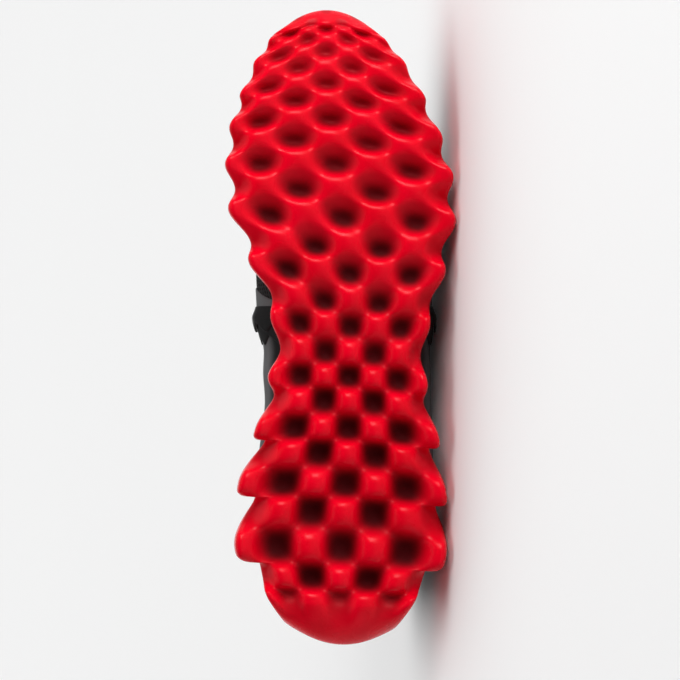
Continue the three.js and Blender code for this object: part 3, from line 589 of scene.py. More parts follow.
def tread_points(column, row, reach):
    x, y = tread_plan(column, row, reach)
    crest = tread_wave(column, row)
    forefoot = between(FOREFOOT_ROWS, row)
    funnel = smooth(*FUNNEL, pit_distance(column, skewed_row(column, row)))
    sunk = mix(((1 - crest) / 2) ** PIT_POWER, funnel, FUNNEL_SHARE * forefoot)
    # Painted shade, kept in the shade attribute: darker with a pit's depth, a dish of it over each
    # forefoot pit's toe side wall, and less near the edge
    dark = along_tread("dark", row) * along_tread("dark_at_end", row)
    shade = smooth(*PIT_SHADE, sunk) ** along_tread("blur", row) * dark
    dish = smooth(*DISH, pit_distance(column, row + DISH_LEAD))
    shade = mix(shade, 1, DISH_SHADE * dish * forefoot)
    shade = shade * (1 - EDGE_LIGHT * smooth(*EDGE_FADE, abs(column)))
    outside = cell_width(column, row, reach)[1]
    from_edge = (EDGE_COLUMN - abs(column)) * outside * BALL_WIDTH
    roll = EDGE_ROUND * (1 - shoulder(from_edge, EDGE_ROUND))
    z = tread_lift(x, row) + tread_depth(row) * sunk + roll
    return np.stack([x, y, z], -1), shade


def side_reach(rise):
    below = mix(TIP_REACH, 1.0, np.sin(np.pi / 2 * np.clip(rise / TIP_RISE, 0, 1)))
    above = np.cos(np.pi / 2 * np.clip((rise - TIP_RISE) / (1 - TIP_RISE), 0, 1)) ** 2
    return np.where(rise < TIP_RISE, below, above)


def border_of(grid):
    """The border of a grid of rows and columns, in the order of the sole's edge."""
    return np.concatenate([grid[:, -1], grid[-1, -2::-1], grid[-2::-1, 0], grid[0, 1:-1]])


def make_outsole():
    piece = Piece("sole_rubber_cup")
    columns, rows = tread_lines()
    points, shade = tread_points(columns[None, :], rows[:, None], TIP_REACH)
    piece.grid(points, points[..., :2] * MM, shade, turned=True)

    bottom = border_of(points)
    column, row = (border_of(grid) for grid in np.meshgrid(columns, rows))
    heel, inner = ROW_SPAN, ROW_SPAN + COLUMN_SPAN
    p = np.concatenate([
        rows - FIRST_ROW, heel + EDGE_COLUMN - columns[-2::-1],
        inner + LAST_ROW - rows[-2::-1], inner + ROW_SPAN + EDGE_COLUMN + columns[1:-1]])

    plain = outline(p)
    rings = [bottom]
    for rise in RING_RISES:
        inset = RIM_INSET * smooth(RIM_START, 1.0, rise)
        line = outline(p, inset)
        tip = np.stack(tread_plan(column, row, side_reach(rise)), -1)
        flat = line + tip - plain
        top = rim_height(flat[:, 0]) - RIM_ROUND
        rings.append(np.column_stack([flat, mix(bottom[:, 2], top, rise)]))
    for inset, drop in LIP:
        line = outline(p, RIM_INSET + inset)
        rings.append(np.column_stack([line, rim_height(line[:, 0]) - drop]))
    inside = outline(p, RIM_INSET + CUP_WALL)
    rings.append(np.column_stack([inside, footbed(inside[:, 0])]))
    rings = np.array(rings)
    around = np.broadcast_to(np.arange(len(p)), rings.shape[:2])
    uv = np.stack([around, rings[..., 2]], -1) * MM
    bed = piece.grid(rings, uv, closed=True)[-1].tolist()
    across, along = len(columns) - 1, len(rows) - 1
    outer_side = bed[:along + 1]
    inner_side = bed[along + across:2 * along + across + 1][::-1]
    for n in range(along):
        piece.faces.append([*outer_side[n:n + 2], *inner_side[n:n + 2][::-1]])
    piece.faces.append(bed[along:along + across + 1])
    piece.faces.append([*bed[2 * along + across:], bed[0]])
    return piece.make(rubber_paint(), ["outsole"])


# The last: forms of the upper at any inset
TOE_ROUND = 24
TOE_ROUND_POWER = 2.2
TOE_END_SHARE = 0.46
HEEL_LEAN = 6
HEEL_LEAN_SHARE = 0.22
AT_RIM = -0.5
RING_POINTS = 1600
FAR_OUT = -5.0
FAR_IN = 9.0


class Form:
    def __init__(self, inset):
        self.inset = inset
        p = np.linspace(0, PERIMETER, RING_POINTS, endpoint=False)
        x, y = outline(p, RIM_INSET + CUP_WALL + CUP_GAP + inset).T
        x, y = np.roll(x, -x.argmax()), np.roll(y, -x.argmax())
        heel = x.argmin()
        self.sides = {
            "outer": (x[: heel + 1][::-1], y[: heel + 1][::-1]),
            "inner": (np.append(x[heel:], x[0]), np.append(y[heel:], y[0])),
        }
        self.start, self.end = x[heel], x[0]

    def across(self, x):
        inner = np.interp(x, *self.sides["inner"])
        outer = np.interp(x, *self.sides["outer"])
        return (inner + outer) / 2, (outer - inner) / 2


def section_value(name, share):
    at, values = sections["at"], sections[name]
    last = len(at) - 1
    k = np.clip(np.searchsorted(at, share, side="left") - 1, 0, last - 1)
    low, high = np.maximum(np.arange(last + 1) - 1, 0), np.minimum(np.arange(last + 1) + 1, last)
    slope = (values[high] - values[low]) / (at[high] - at[low])
    width = at[k + 1] - at[k]
    f = np.clip((share - at[k]) / width, 0, 1)
    rises = slope[k] * (f ** 3 - 2 * f ** 2 + f) + slope[k + 1] * (f ** 3 - f ** 2)
    return mix(values[k], values[k + 1], 3 * f ** 2 - 2 * f ** 3) + width * rises


base = Form(0)
THROAT_ROUND = 0.02


def section_of(form, share):
    x = mix(form.start, form.end, share)
    base_x = mix(base.start, base.end, share)
    middle, half = form.across(x)
    full = base.across(base_x)[1]
    foot = footbed(x) + FIT_GAP
    from_toe = np.clip((1 - share) * (base.end - base.start) / TOE_ROUND, 0, 1)
    toe_arc = (1 - (1 - from_toe) ** TOE_ROUND_POWER) ** (1 / TOE_ROUND_POWER)
    toe_round = mix(TOE_END_SHARE, 1, toe_arc)
    edge_top = foot + (section_value("top", share) - foot) * toe_round
    rim = np.maximum(rim_height(x), rim_height(base_x)) + FIT_GAP
    bulge = rim + section_value("waist", share) * (edge_top - rim)
    power = section_value("round", share)
    near_front = np.clip((share - THROAT_FRONT + THROAT_ROUND) / THROAT_ROUND, 0, 1)
    throat = np.clip(section_value("open", share), 0, 1)
    arch = (1 - np.where(share < THROAT_FRONT, throat, 0) ** power) ** (1 / power)
    return {
        "x": x, "middle": middle, "half": half, "foot": foot, "rim": rim, "bulge": bulge,
        "round": power, "open": throat * np.sqrt(1 - near_front ** 2),
        "inner": half + full * (section_value("inner", share) - 1),
        "outer": half + full * (section_value("outer", share) - 1),
        "ridge": bulge + (edge_top - bulge) / arch - form.inset,
    }


def last_point(form, share, side, climb):
    share, climb = np.broadcast_arrays(share, climb)
    s = section_of(form, share)
    low = (climb + 1) / (AT_RIM + 1)
    rise = np.clip(1 - climb / AT_RIM, 0, 1)
    turn = np.maximum(climb, 0)
    power = 2 / s["round"]
    parts = [climb < AT_RIM, climb < 0]
    half = np.select(parts, [s["half"], mix(s["half"], s[side], np.sin(rise * np.pi / 2))],
                     s[side] * np.maximum(np.cos(turn), 0) ** power)
    z = np.select(parts, [mix(s["foot"], s["rim"], low), mix(s["rim"], s["bulge"], rise)],
                  mix(s["bulge"], s["ridge"], np.sin(turn) ** power))
    above = np.maximum(z - s["bulge"], 0) / (HEEL_HEIGHT - s["bulge"])
    lean = HEEL_LEAN * above ** 2 * np.clip(1 - share / HEEL_LEAN_SHARE, 0, 1) ** 2
    sign = -1 if side == "inner" else 1
    return np.stack([s["x"] + lean, s["middle"] + sign * half, z], -1)


def edge_turn(share):
    s = section_of(base, share)
    return np.arccos(s["open"] ** (s["round"] / 2))


def turn_at(share, side, half):
    s = section_of(base, share)
    return np.arccos(np.clip(half / s[side], 0, 1) ** (s["round"] / 2))


def arc_uv(points):
    return np.stack(arc_lengths(points), -1) * MM


def arc_lengths(points):
    """Lengths along both directions of a grid of points."""
    along = np.linalg.norm(np.diff(points, axis=0), axis=-1)
    up = np.linalg.norm(np.diff(points, axis=1), axis=-1)
    u = np.vstack([np.zeros((1, points.shape[1])), np.cumsum(along, 0)])
    v = np.hstack([np.zeros((points.shape[0], 1)), np.cumsum(up, 1)])
    return u, v


far_forms = (Form(FAR_OUT), Form(FAR_IN))


def form_points(share, side, climb, inset):
    """Points at an inset that changes from point to point, between three forms."""
    middle, out, into = (last_point(form, share, side, climb) for form in (base, *far_forms))
    inset = np.broadcast_to(inset, middle.shape[:-1])[..., None]
    return np.where(inset < 0, mix(middle, out, inset / FAR_OUT), mix(middle, into, inset / FAR_IN))


# Upper
STATIONS = 150
LOW_CLIMBS = np.array([-1, -0.75, AT_RIM, -0.42, -0.34, -0.25, -0.16, -0.08])
HIGH_POINTS = 30
ROLL_POINTS = 7
COLLAR_PAD = 4.5
COLLAR_END = (0.40, 0.47)
COLLAR_RISE = (0.45, 0.85)
THROAT_FINE = (0.0, 0.0002, 0.001, 0.0025, 0.005, 0.009, 0.014)

# Flex creases: their place at the top, slant, width, depth in mm and part of the wall
VAMP_RISE = (0.25, 0.6, 1.0, 2.0)
ANKLE_RISE = (0.15, 0.4, 0.75, 0.95)
CREASES = [
    (0.745, -0.02, 0.008, 1.3, VAMP_RISE),
    (0.715, -0.03, 0.009, 1.0, VAMP_RISE),
    (0.775, -0.015, 0.008, 0.8, VAMP_RISE),
    (0.33, -0.10, 0.010, 1.1, ANKLE_RISE),
    (0.365, -0.12, 0.009, 0.8, ANKLE_RISE),
]


def upper_stations():
    even = np.linspace(0, 1, STATIONS)
    shares = set((0.5 - 0.5 * np.cos(np.pi * even)).round(6))
    return np.array(sorted(shares | {THROAT_FRONT - step for step in THROAT_FINE}))


def creases(share, climb_share):
    depth = 0
    for at, slant, width, low, rise in CREASES:
        line = at + slant * (1 - climb_share)
        trough = low * np.exp(-((share - line) / width) ** 2)
        depth = depth + trough * between(rise, climb_share)
    return depth


def make_upper():
    piece = Piece("mesh_upper")
    shares = upper_stations()[:, None]
    rise = np.linspace(0, 1, HIGH_POINTS + 1)[None, :]
    high = edge_turn(shares) * rise
    low = np.broadcast_to(LOW_CLIMBS, (len(shares), len(LOW_CLIMBS)))
    climbs = np.hstack([low, high])
    climb_share = np.hstack([0 * low, np.broadcast_to(rise, high.shape)])
    near_collar = (1 - smooth(*COLLAR_END, shares)) * smooth(*COLLAR_RISE, climb_share)
    outer_inset = creases(shares, climb_share)
    inner_inset = UPPER_WALL + outer_inset + COLLAR_PAD * near_collar
    open_rows = shares[:, 0] < THROAT_FRONT
    for side in SIDES:
        out = form_points(shares, side, climbs, outer_inset)
        into = form_points(shares, side, climbs, inner_inset)
        top, back = out[:, -1], into[:, -1]
        up = top - out[:, -2]
        up /= np.maximum(np.linalg.norm(up, axis=-1, keepdims=True), 1e-9)
        reach = np.linalg.norm(top - back, axis=-1, keepdims=True) / 2
        roll = []
        for n in range(1, ROLL_POINTS):
            angle = np.pi * n / ROLL_POINTS
            swell = up * reach * np.sin(angle) * open_rows[:, None]
            roll.append((top + back) / 2 + (top - back) / 2 * np.cos(angle) + swell)
        wall = np.concatenate([out, np.stack(roll, 1), into[:, ::-1], out[:, :1]], 1)
        uv = arc_uv(wall)
        uv[..., 0] = uv[:, len(LOW_CLIMBS), :1]
        keep = np.ones((len(shares) - 1, wall.shape[1] - 1), bool)
        first = out.shape[1] - 1
        keep[np.ix_(~open_rows[:-1], range(first, first + ROLL_POINTS))] = False
        inside = np.arange(wall.shape[1]) > first + 1
        piece.grid(wall, uv, inside, keep, turned=side == "outer")
    lining = cloth_paint("lining_cloth", (0.006, 0.006, 0.006), (0.016, 0.016, 0.017), 600.0)
    return piece.make(knit_paint(), ["upper"], inside=lining)


# Panels with rounded edges, on a form of the upper
EDGE_STEPS = np.array([0.0, 0.12, 0.35, 0.7, 1.2])
PANEL_EDGE = 1.2


def edged(low, high, unit, count):
    """Places from low to high, close together at both ends. unit is the length of 1 in mm."""
    near = EDGE_STEPS / unit
    inside = np.linspace(low + near[-1], high - near[-1], count)
    return np.concatenate([low + near[:-1], inside, (high - near[:-1])[::-1]])


def border_distance(points):
    u, v = arc_lengths(points)
    return np.minimum(np.minimum(u, u[-1:] - u), np.minimum(v, v[:, -1:] - v))


def panel_profile(points):
    """0 at the border of a grid and 1 inside, with a round shoulder."""
    return shoulder(border_distance(points), PANEL_EDGE)


def add_panel(piece, share, side, climb, gap, thickness, holes=(), shade=0.0):
    """A panel over a grid of places, with a round hole about each of some points."""
    flat = form_points(share, side, climb, -gap)
    full = panel_profile(flat)
    top = form_points(share, side, climb, -gap - thickness * full)
    uv = arc_uv(flat)
    middles = (flat[:-1, :-1] + flat[1:, 1:]) / 2
    keep = np.ones(middles.shape[:2], bool)
    for hole in holes:
        keep &= np.linalg.norm(middles - hole, axis=-1) > HOLE_RADIUS + HOLE_ROOM
    turned = side == "outer"
    piece.grid(top, uv, shade, keep, turned=turned)
    piece.grid(flat, uv, shade, keep, turned=not turned)


HIGH_STEPS = 6
BULGE_STEP = 3


def climb_of(share, step):
    """Climb at a step of the wall: 1 at the rim, 3 at the bulge, 9 at the opening."""
    low_climb = np.interp(step, [0, 1, BULGE_STEP], [-1, AT_RIM, 0])
    high_climb = edge_turn(share) * (step - BULGE_STEP) / HIGH_STEPS
    return np.where(step > BULGE_STEP, high_climb, low_climb)


PANEL_TOP = OVERLAY_GAP + OVERLAY_THICKNESS
GREY = (0.105, 0.105, 0.108)
GREY_DARK = (0.080, 0.080, 0.083)
BLACK = (0.014, 0.014, 0.015)
BLACK_DARK = (0.008, 0.008, 0.008)
STEP_LENGTH = 15.0
COUNTER_FRONT = 0.11
SIDE_FRONT = 0.478
FIRST_STEP = 1.15
TOP_STEP = 5.0
DARK_STEPS = (1.6, 2.2)
TOOTH = 0.022
TOOTH_START = 1.5


def wall_steps(low, high, count):
    return edged(low, high, STEP_LENGTH, count)[None, :]


def panel_shares(rear, front, count):
    """From 0 at a panel's rear edge to 1 at its front."""
    return edged(0.0, 1.0, (front - rear) * SOLE_LENGTH, count)[:, None]


def saw(steps, start):
    """One tooth a step: 1 at the start and 0 half a step on."""
    return abs(2 * np.mod(steps - start, 1) - 1)


def make_side_overlay(side, paint):
    piece = Piece(f"side_overlay_{side}")
    steps = wall_steps(FIRST_STEP, TOP_STEP, 64)
    front = SIDE_FRONT + TOOTH * (1 - saw(steps, TOOTH_START))
    rear = COUNTER_FRONT + FIT_GAP / SOLE_LENGTH
    share = mix(rear, front, panel_shares(COUNTER_FRONT, SIDE_FRONT, 60))
    add_panel(piece, share, side, climb_of(share, steps), OVERLAY_GAP, OVERLAY_THICKNESS,
              shade=1 - smooth(*DARK_STEPS, steps))
    return piece.make(paint, [f"overlay_{side}"])


# Thin layers at the front of the side overlay: a satin band and two layers of fins, whose saw
# teeth point to the heel and stand off the shoe's side at its widest
LAYER_STEPS = (1.2, 6.7)
LAYER_FRONT_GAP = 0.65
LAYER_THICKNESS = 0.55
LAYER_RAMP = 0.021
SATIN_REAR = 0.497
SATIN_FRONT = 0.565
SATIN_WIDTH = 0.06
SATIN_NARROWER = 0.022
SATIN_WIDER = 0.02
SATIN_MIDDLE = 3.2
SATIN_GAP = 0.05
SATIN_THICKNESS = 0.5
FIN_STEPS = (1.0, 1.9, 4.2, 5.6)
FIN_TOOTH = 0.75 * TOOTH
FIN_LIFT_POWER = 1.3
FIN_UNDER_LIFT = 0.6

# The fin layers: front, rear, gap at the rear, how far they stand proud, a tooth's start
FIN_LAYERS = [
    (0.522, 0.470, PANEL_TOP + 0.1, 0.25, 0.85),
    (0.534, 0.491, PANEL_TOP + 0.75, 0.95, 1.35),
]


def make_satin_band(side, paint):
    piece = Piece(f"satin_band_{side}")
    low, high = LAYER_STEPS
    steps = wall_steps(low, high, 50)
    front = SATIN_FRONT - SATIN_NARROWER * smooth(SATIN_MIDDLE, low, steps)
    front = front + SATIN_WIDER * smooth(SATIN_MIDDLE, high, steps)
    share = mix(SATIN_REAR, front, panel_shares(0.0, SATIN_WIDTH, 14))
    add_panel(piece, share, side, climb_of(share, steps), SATIN_GAP, SATIN_THICKNESS)
    return piece.make(paint)


def make_fin_layer(side, number, paint):
    """A layer that starts on the satin band and rises to its own gap further back."""
    piece = Piece(f"fin_layer_{number + 1}_{side}")
    front, rear, rear_gap, proud, tooth_start = FIN_LAYERS[number]
    steps = wall_steps(*LAYER_STEPS, 110)
    along = panel_shares(rear, front, 24)
    share = mix(rear + FIN_TOOTH * saw(steps, tooth_start), front, along)
    climb = climb_of(share, steps)
    lift = proud * between(FIN_STEPS, steps) * (1 - along) ** FIN_LIFT_POWER
    gap = mix(LAYER_FRONT_GAP, rear_gap, smooth(front, front - LAYER_RAMP, share))
    flat = form_points(share, side, climb, -gap - FIN_UNDER_LIFT * lift)
    top = form_points(share, side, climb, -gap - lift - LAYER_THICKNESS * panel_profile(flat))
    uv = arc_uv(flat)
    piece.grid(top, uv, turned=side == "outer")
    piece.grid(flat, uv, turned=side == "inner")
    for k in (0, -1):
        piece.grid(np.stack([top[k], flat[k]]), np.stack([uv[k], uv[k]]))
        piece.grid(np.stack([top[:, k], flat[:, k]]), np.stack([uv[:, k], uv[:, k]]))
    return piece.make(paint)


def make_heel_counter(paint):
    """One panel from the inner side round the heel to the outer side."""
    piece = Piece("heel_counter_panel")
    count = 40
    front = COUNTER_FRONT - FIT_GAP / SOLE_LENGTH
    share = (front * (1 - np.linspace(0, 1, count) ** 2))[:, None]
    climb = climb_of(share, wall_steps(FIRST_STEP, TOP_STEP, count))

    def wrapped(lift):
        inner = form_points(share, "inner", climb, -OVERLAY_GAP - lift[:count])
        outer = form_points(share, "outer", climb, -OVERLAY_GAP - lift[count - 1:][::-1])
        return np.concatenate([inner, outer[-2::-1]])

    flat = wrapped(np.zeros((2 * count - 1, 1)))
    uv = arc_uv(flat)
    piece.grid(wrapped(OVERLAY_THICKNESS * panel_profile(flat)), uv)
    piece.grid(flat, uv, turned=True)
    return piece.make(paint, ["heel_counter"])


EYESTAY_STEPS = (7.0, 8.98)
EYESTAY_STEP_LENGTH = 12.0
EYESTAY_FRONT = THROAT_FRONT - 0.004


def make_eyestay(side, paint):
    piece = Piece(f"eyestay_panel_{side}")
    share = edged(THROAT_TOP, EYESTAY_FRONT, SOLE_LENGTH, 60)[:, None]
    climb = climb_of(share, edged(*EYESTAY_STEPS, EYESTAY_STEP_LENGTH, 16)[None, :])
    holes = [eyelet_frame(number, side, OVERLAY_GAP)[0] for number in range(LACE_BARS)]
    add_panel(piece, share, side, climb, OVERLAY_GAP, OVERLAY_THICKNESS, holes)
    return piece.make(paint, [f"eyestay_{side}"])


def normals_at(share, side, climb, gap):
    """Points of a form and the way out of it there."""
    points = form_points(share, side, climb, -gap)
    out = form_points(share, side, climb, -gap - 1.0) - points
    return points, out / np.linalg.norm(out, axis=-1, keepdims=True)


def circle(middle, radius, one, other, count):
    """A circle of points that starts in one direction and turns to the other."""
    turn = np.linspace(0, 2 * np.pi, count, endpoint=False)[:, None]
    return middle + radius * (np.cos(turn) * one + np.sin(turn) * other)


# Eyelets: a rolled ring round each hole of the eyestays, with its radii and heights
HOLE_RADIUS = 2.2
HOLE_ROOM = 0.4
RING_PROFILE = [(HOLE_RADIUS, -1.7), (HOLE_RADIUS, 0.1), (2.35, 0.35), (2.75, 0.5),
                (3.2, 0.35), (3.4, -0.1)]
RING_SIDES = 24


def eyelet_frame(number, side, gap):
    share = np.array([lace_share(number)])
    s = section_of(base, share)
    climb = turn_at(share, side, s["open"] * s[side] + LACE_END)
    point, out = normals_at(share, side, climb, gap)
    ahead = form_points(share + 0.01, side, climb, -gap) - point
    ahead = ahead[0] - out[0] * np.dot(ahead[0], out[0])
    ahead /= np.linalg.norm(ahead)
    return point[0], ahead, np.cross(out[0], ahead), out[0]


def make_eyelets(side, paint):
    piece = Piece(f"eyelet_rings_{side}")
    for number in range(LACE_BARS):
        at, ahead, along, out = eyelet_frame(number, side, PANEL_TOP)
        rings = [circle(at + out * height, radius, ahead, along, RING_SIDES)
                 for radius, height in RING_PROFILE]
        piece.grid(np.array(rings), closed=True)
    return piece.make(paint)


# Seams: rows of short raised stitches. A stitch's sections have a place along it, a share of
# the thread's radius and a height in mm.
STITCH = 2.2
STITCH_PITCH = 3.2
THREAD = 0.55
THREAD_SIDES = 6
STITCH_SHAPE = [(-0.5, 0.25, -0.15), (-0.34, 0.9, 0.12), (0, 1.0, 0.2), (0.34, 0.9, 0.12),
                (0.5, 0.25, -0.15)]
SEAM_STEP = TOP_STEP - 0.16

# The seams: from and to along the shoe, from and to up the wall in steps, points and gap
SEAMS = [
    (COUNTER_FRONT + 0.012, SIDE_FRONT - 0.03, SEAM_STEP, SEAM_STEP, 90, PANEL_TOP),
    (COUNTER_FRONT + 0.012, SIDE_FRONT - 0.03, TOP_STEP - 0.42, TOP_STEP - 0.42, 90, PANEL_TOP),
    (COUNTER_FRONT - 0.010, COUNTER_FRONT - 0.010, 1.35, TOP_STEP - 0.2, 50, PANEL_TOP),
    (COUNTER_FRONT + 0.010, COUNTER_FRONT + 0.010, 1.35, TOP_STEP - 0.2, 50, PANEL_TOP),
    (0.004, COUNTER_FRONT - 0.016, SEAM_STEP, SEAM_STEP, 40, PANEL_TOP),
    (THROAT_TOP + 0.008, THROAT_FRONT - 0.012, 7.2, 7.2, 80, PANEL_TOP),
    (THROAT_FRONT - 0.011, THROAT_FRONT - 0.011, 7.3, 8.75, 20, PANEL_TOP),
    (0.004, THROAT_TOP - 0.02, 8.45, 8.45, 120, 0.0),
]


def add_seam(piece, share, side, climb, gap):
    points, out = normals_at(share, side, climb, gap)
    length = np.concatenate([[0], np.cumsum(np.linalg.norm(np.diff(points, axis=0), axis=1))])

    def at(place):
        found = [np.interp(place, length, values) for values in (*points.T, *out.T)]
        return np.array(found[:3]), np.array(found[3:])

    for start in np.arange(STITCH_PITCH / 2, length[-1] - STITCH_PITCH / 2, STITCH_PITCH):
        rings = []
        ahead = at(start + STITCH / 2)[0] - at(start - STITCH / 2)[0]
        ahead /= np.linalg.norm(ahead)
        for along, radius, height in STITCH_SHAPE:
            middle, up = at(start + along * STITCH)
            rings.append(circle(middle + up * height, THREAD / 2 * radius, np.cross(up, ahead),
                                up, THREAD_SIDES))
        piece.grid(np.array(rings), closed=True)


def make_seams(paint):
    piece = Piece("seam_stitches")
    for side in SIDES:
        for rear, front, low, high, count, gap in SEAMS:
            share = np.linspace(rear, front, count)
            add_seam(piece, share, side, climb_of(share, np.linspace(low, high, count)), gap)
    return piece.make(paint)


# Tongue
TONGUE_GAP = 1.0
TONGUE_TOP_SHARE = 0.62
TONGUE_WIDEST = 0.55
TONGUE_FRONT_SHARE = 0.8
TONGUE_FRONT = 0.75
TONGUE_EDGE = 2.4
TONGUE_CROWN = (3, 9)
TONGUE_THIN = 0.72
TONGUE_CORNER = 0.24
CORNER_POWER = 5
RIDGE_STEP = 0.05
FREE_SHARES = (1.0, 0.985, 0.95, 0.9, 0.8, 0.6, 0.4, 0.2)


def tongue_points(share, across, inset, corner):
    taper = mix(TONGUE_TOP_SHARE, 1, smooth(THROAT_TOP, TONGUE_WIDEST, share))
    taper = taper * mix(1, TONGUE_FRONT_SHARE, smooth(TONGUE_WIDEST, TONGUE_FRONT, share))
    half = abs(across) * taper * corner * TONGUE_WIDTH / 2
    sides = [form_points(share, side, turn_at(share, side, half), inset) for side in SIDES]
    return np.where((across < 0)[..., None], *sides)


def make_tongue(paint):
    piece = Piece("padded_tongue")
    share = edged(THROAT_TOP, TONGUE_FRONT - 0.002, SOLE_LENGTH, 60)
    across = edged(-1.0, 1.0, TONGUE_WIDTH / 2, 30)[None, :]
    free = np.concatenate([FREE_SHARES, np.zeros(len(share))])[:, None]
    share = np.concatenate([np.full(len(FREE_SHARES), THROAT_TOP), share])[:, None]
    top = last_point(base, THROAT_TOP, "inner", np.pi / 2)
    back = top - last_point(base, THROAT_TOP + RIDGE_STEP, "inner", np.pi / 2)
    step = TONGUE_STEP * free[..., None] * back / np.linalg.norm(back)
    corner = 1 - TONGUE_CORNER * free ** CORNER_POWER
    centre = UPPER_WALL + TONGUE_GAP + TONGUE_THICKNESS / 2
    middle = tongue_points(share, across, centre, corner) + step
    edge = border_distance(middle)
    crown = mix(TONGUE_THIN, 1.0, smooth(*TONGUE_CROWN, edge))
    half = TONGUE_THICKNESS / 2 * shoulder(edge, TONGUE_EDGE) * crown
    uv = arc_uv(middle)
    for inset, turned in ((centre - half, False), (centre + half, True)):
        piece.grid(tongue_points(share, across, inset, corner) + step, uv, turned=turned)
    made = piece.make(paint, ["tongue"])
    return made


# Laces
LACE_END = 8
LACE_TOP_SHARE = 0.475
LACE_FRONT_SHARE = 0.685
LACE_GAP = 0.25
LACE_GATHERED = 0.52
LACE_KNEE = 0.985
LACE_GATHER = (0.80, LACE_KNEE)
LACE_POINTS = 61
LACE_SINKS = (5.0, 3.2, 1.2)
LACE_SIDES = 16
LACE_FLATNESS = (0.5, 0.8)
LACE_SWELL = 0.3
LACE_DIP = 0.4
LACE_DIP_WIDTHS = (10, 18)


def lace_share(number):
    return mix(LACE_TOP_SHARE, LACE_FRONT_SHARE, number / (LACE_BARS - 1))


def squared(value, power):
    return np.sign(value) * abs(value) ** power


def make_lace_bar(number, paint):
    """A flat strip across the throat, whose gathered ends go down into the eyelets."""
    piece = Piece(f"lace_{number + 1}")
    ends = np.ones(len(LACE_SINKS))
    across = np.concatenate([-ends, np.linspace(-LACE_KNEE, LACE_KNEE, LACE_POINTS), ends])[:, None]
    sunk = np.concatenate([LACE_SINKS, np.zeros(LACE_POINTS), LACE_SINKS[::-1]])[:, None]
    gathered = mix(1, LACE_GATHERED, smooth(*LACE_GATHER, abs(across)))
    turn = np.linspace(0, 2 * np.pi, LACE_SIDES, endpoint=False)
    off, high = squared(np.cos(turn), LACE_FLATNESS[0]), squared(np.sin(turn), LACE_FLATNESS[1])
    place = lace_share(number) + LACE_WIDTH / 2 / SOLE_LENGTH * off * gathered
    lift = LACE_THICKNESS / 2 * high * (1 + LACE_SWELL * (1 - gathered))
    s = section_of(base, place)
    on_eyestay = -PANEL_TOP - LACE_GAP
    on_tongue = UPPER_WALL + TONGUE_GAP - 2 * FIT_GAP
    wide = s["open"] * (s["inner"] + s["outer"]) / 2
    sides = []
    for side in SIDES:
        edge_half = s["open"] * s[side]
        half = abs(across) * (edge_half + LACE_END)
        dip = smooth(edge_half, edge_half * LACE_DIP, half) * smooth(*LACE_DIP_WIDTHS, wide)
        inset = mix(on_eyestay, on_tongue, dip) - LACE_THICKNESS / 2 - lift + sunk
        sides.append(form_points(place, side, turn_at(place, side, half), inset))
    points = np.where((across < 0)[..., None], *sides)
    uv = arc_uv(np.concatenate([points, points[:, :1]], 1))[:, :-1]
    index = piece.grid(points, uv, closed=True).tolist()
    piece.faces += [index[0][::-1], index[-1]]
    return piece.make(paint, [f"lace_bar_{number + 1}"])


# Insole: insets in mm with shares of its thickness, then shares of the width over its top
INSOLE_POINTS = 600
INSOLE_PROFILE = [(0.0, 0.0), (0.0, 0.75), (0.3, 0.9), (1.0, 1.0), (3.0, 0.925), (8.0, 0.85)]
INSOLE_WIDTHS = (0.85, 0.7, 0.5, 0.3, 0.12)
INSOLE_MIDDLE = -3.0


def make_insole(paint):
    piece = Piece("insole_board")
    p = np.linspace(0, PERIMETER, INSOLE_POINTS, endpoint=False)
    distance = RIM_INSET + CUP_WALL + CUP_GAP + UPPER_WALL + INSOLE_GAP
    rings = []
    for inset, up in INSOLE_PROFILE:
        x, y = outline(p, distance + inset).T
        rings.append(np.column_stack([x, y, footbed(x) + FIT_GAP + up * INSOLE_THICKNESS]))
    x, y, z = rings[-1].T
    rings += [np.column_stack([x, mix(INSOLE_MIDDLE, y, width), z]) for width in INSOLE_WIDTHS]
    rings = np.array(rings)
    index = piece.grid(rings, rings[..., :2] * MM, closed=True).tolist()
    piece.faces += [index[0][::-1], index[-1]]
    return piece.make(paint, ["insole"])


# Stage, light and camera
AIM = Vector((146.6, 0.0, 8.0))
PICTURE_SIDE = 680
SOLE_PIXELS = 638.1
LENS = 200.0
FLOOR_SIZE = 9.0
FLOOR_DROP = 0.0002
LIGHT_AIM = Vector((0, 0, 0.05))
SKY_FADE = {"From Min": 0.04, "From Max": 0.30, "To Min": 0.85, "To Max": 0.12}


def make_floor():
    paint = Paint("pale_floor", (0.86, 0.86, 0.86), 0.9)
    paint.bump(paint.noise(paint.place(), 40.0, detail=3.0), strength=0.02, distance=0.3)
    bpy.ops.mesh.primitive_plane_add(size=FLOOR_SIZE, location=(0, 0, -FLOOR_DROP))
    floor = bpy.context.object
    floor.name = "floor"
    floor.data.materials.append(paint.material)


def softbox(name, at, size, power, shiny):
    data = bpy.data.lights.new(name, "AREA")
    data.shape = "RECTANGLE"
    data.size, data.size_y = size
    data.energy = power
    light = add_object(name, data)
    light.location = at
    light.rotation_euler = (LIGHT_AIM - Vector(at)).to_track_quat("-Z", "Y").to_euler()
    light.visible_camera = False
    light.visible_glossy = shiny


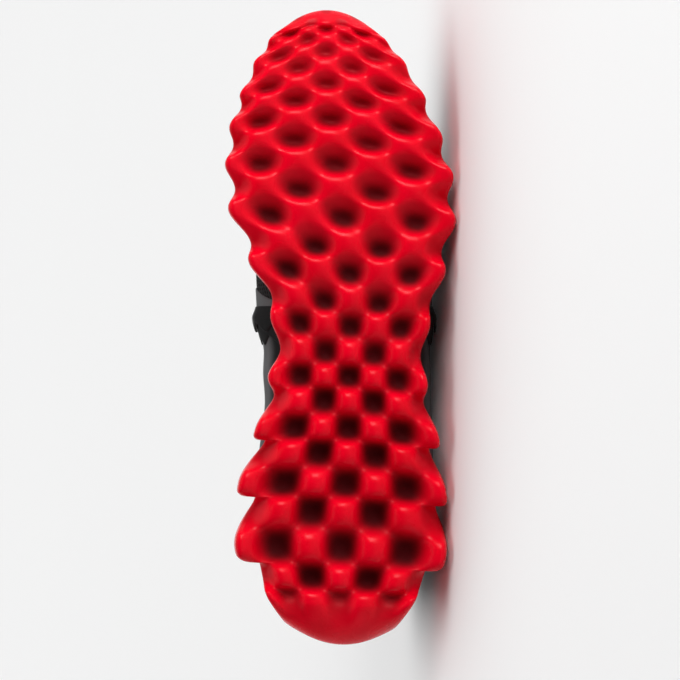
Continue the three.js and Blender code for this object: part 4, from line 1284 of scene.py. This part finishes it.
def make_lights():
    world = bpy.data.worlds.new("studio")
    world.use_nodes = True
    nodes, links = world.node_tree.nodes, world.node_tree.links
    height = nodes.new("ShaderNodeSeparateXYZ")
    links.new(nodes.new("ShaderNodeTexCoord").outputs["Generated"], height.inputs[0])
    fade = nodes.new("ShaderNodeMapRange")
    fade.interpolation_type = "SMOOTHSTEP"
    for name, value in SKY_FADE.items():
        fade.inputs[name].default_value = value
    links.new(height.outputs["Z"], fade.inputs["Value"])
    links.new(fade.outputs["Result"], nodes["Background"].inputs["Strength"])
    nodes["Background"].inputs["Color"].default_value = (1, 1, 1, 1)
    bpy.context.scene.world = world
    softbox("toe_key", at=(1.75, -1.25, 0.42), size=(1.35, 1.0), power=48, shiny=True)
    softbox("overhead", at=(0, 1.5, 3.5), size=(7.0, 7.0), power=245, shiny=False)


def make_camera():
    turn = lying.to_3x3().normalized()
    ahead, outward, up = (turn.col[k] for k in range(3))
    data = bpy.data.cameras.new("camera")
    data.lens = LENS
    width = PICTURE_SIDE / SOLE_PIXELS * SOLE_LENGTH
    distance = width * LENS / data.sensor_width * MM
    camera = add_object("camera", data)
    back = -up
    turned = Matrix((outward, ahead, back)).transposed().to_4x4()
    camera.matrix_world = Matrix.Translation(lying @ AIM + back * distance) @ turned
    bpy.context.scene.camera = camera


def main():
    bpy.context.scene.view_settings.view_transform = "Standard"
    make_camera()
    make_floor()
    make_lights()
    make_outsole()
    make_upper()
    leather = leather_paint("grey_leather", GREY, GREY_DARK, 0.42)
    black_leather = leather_paint("black_leather", BLACK, BLACK_DARK, 0.38)
    for side in SIDES:
        make_side_overlay(side, leather)
        make_satin_band(side, leather)
        for number in range(len(FIN_LAYERS)):
            make_fin_layer(side, number, black_leather)
        make_eyestay(side, black_leather)
        make_eyelets(side, black_leather)
    make_heel_counter(black_leather)
    make_seams(cloth_paint("thread", (0.02, 0.02, 0.021), (0.05, 0.05, 0.05), 900.0))
    make_tongue(cloth_paint("tongue_cloth", (0.010, 0.010, 0.011), (0.03, 0.03, 0.032), 400.0))
    lace = cloth_paint("lace_weave", (0.008, 0.008, 0.009), (0.03, 0.03, 0.031), 500.0)
    for number in range(LACE_BARS):
        make_lace_bar(number, lace)
    make_insole(cloth_paint("insole_cloth", (0.010, 0.010, 0.011), (0.026, 0.026, 0.028), 420.0))


main()
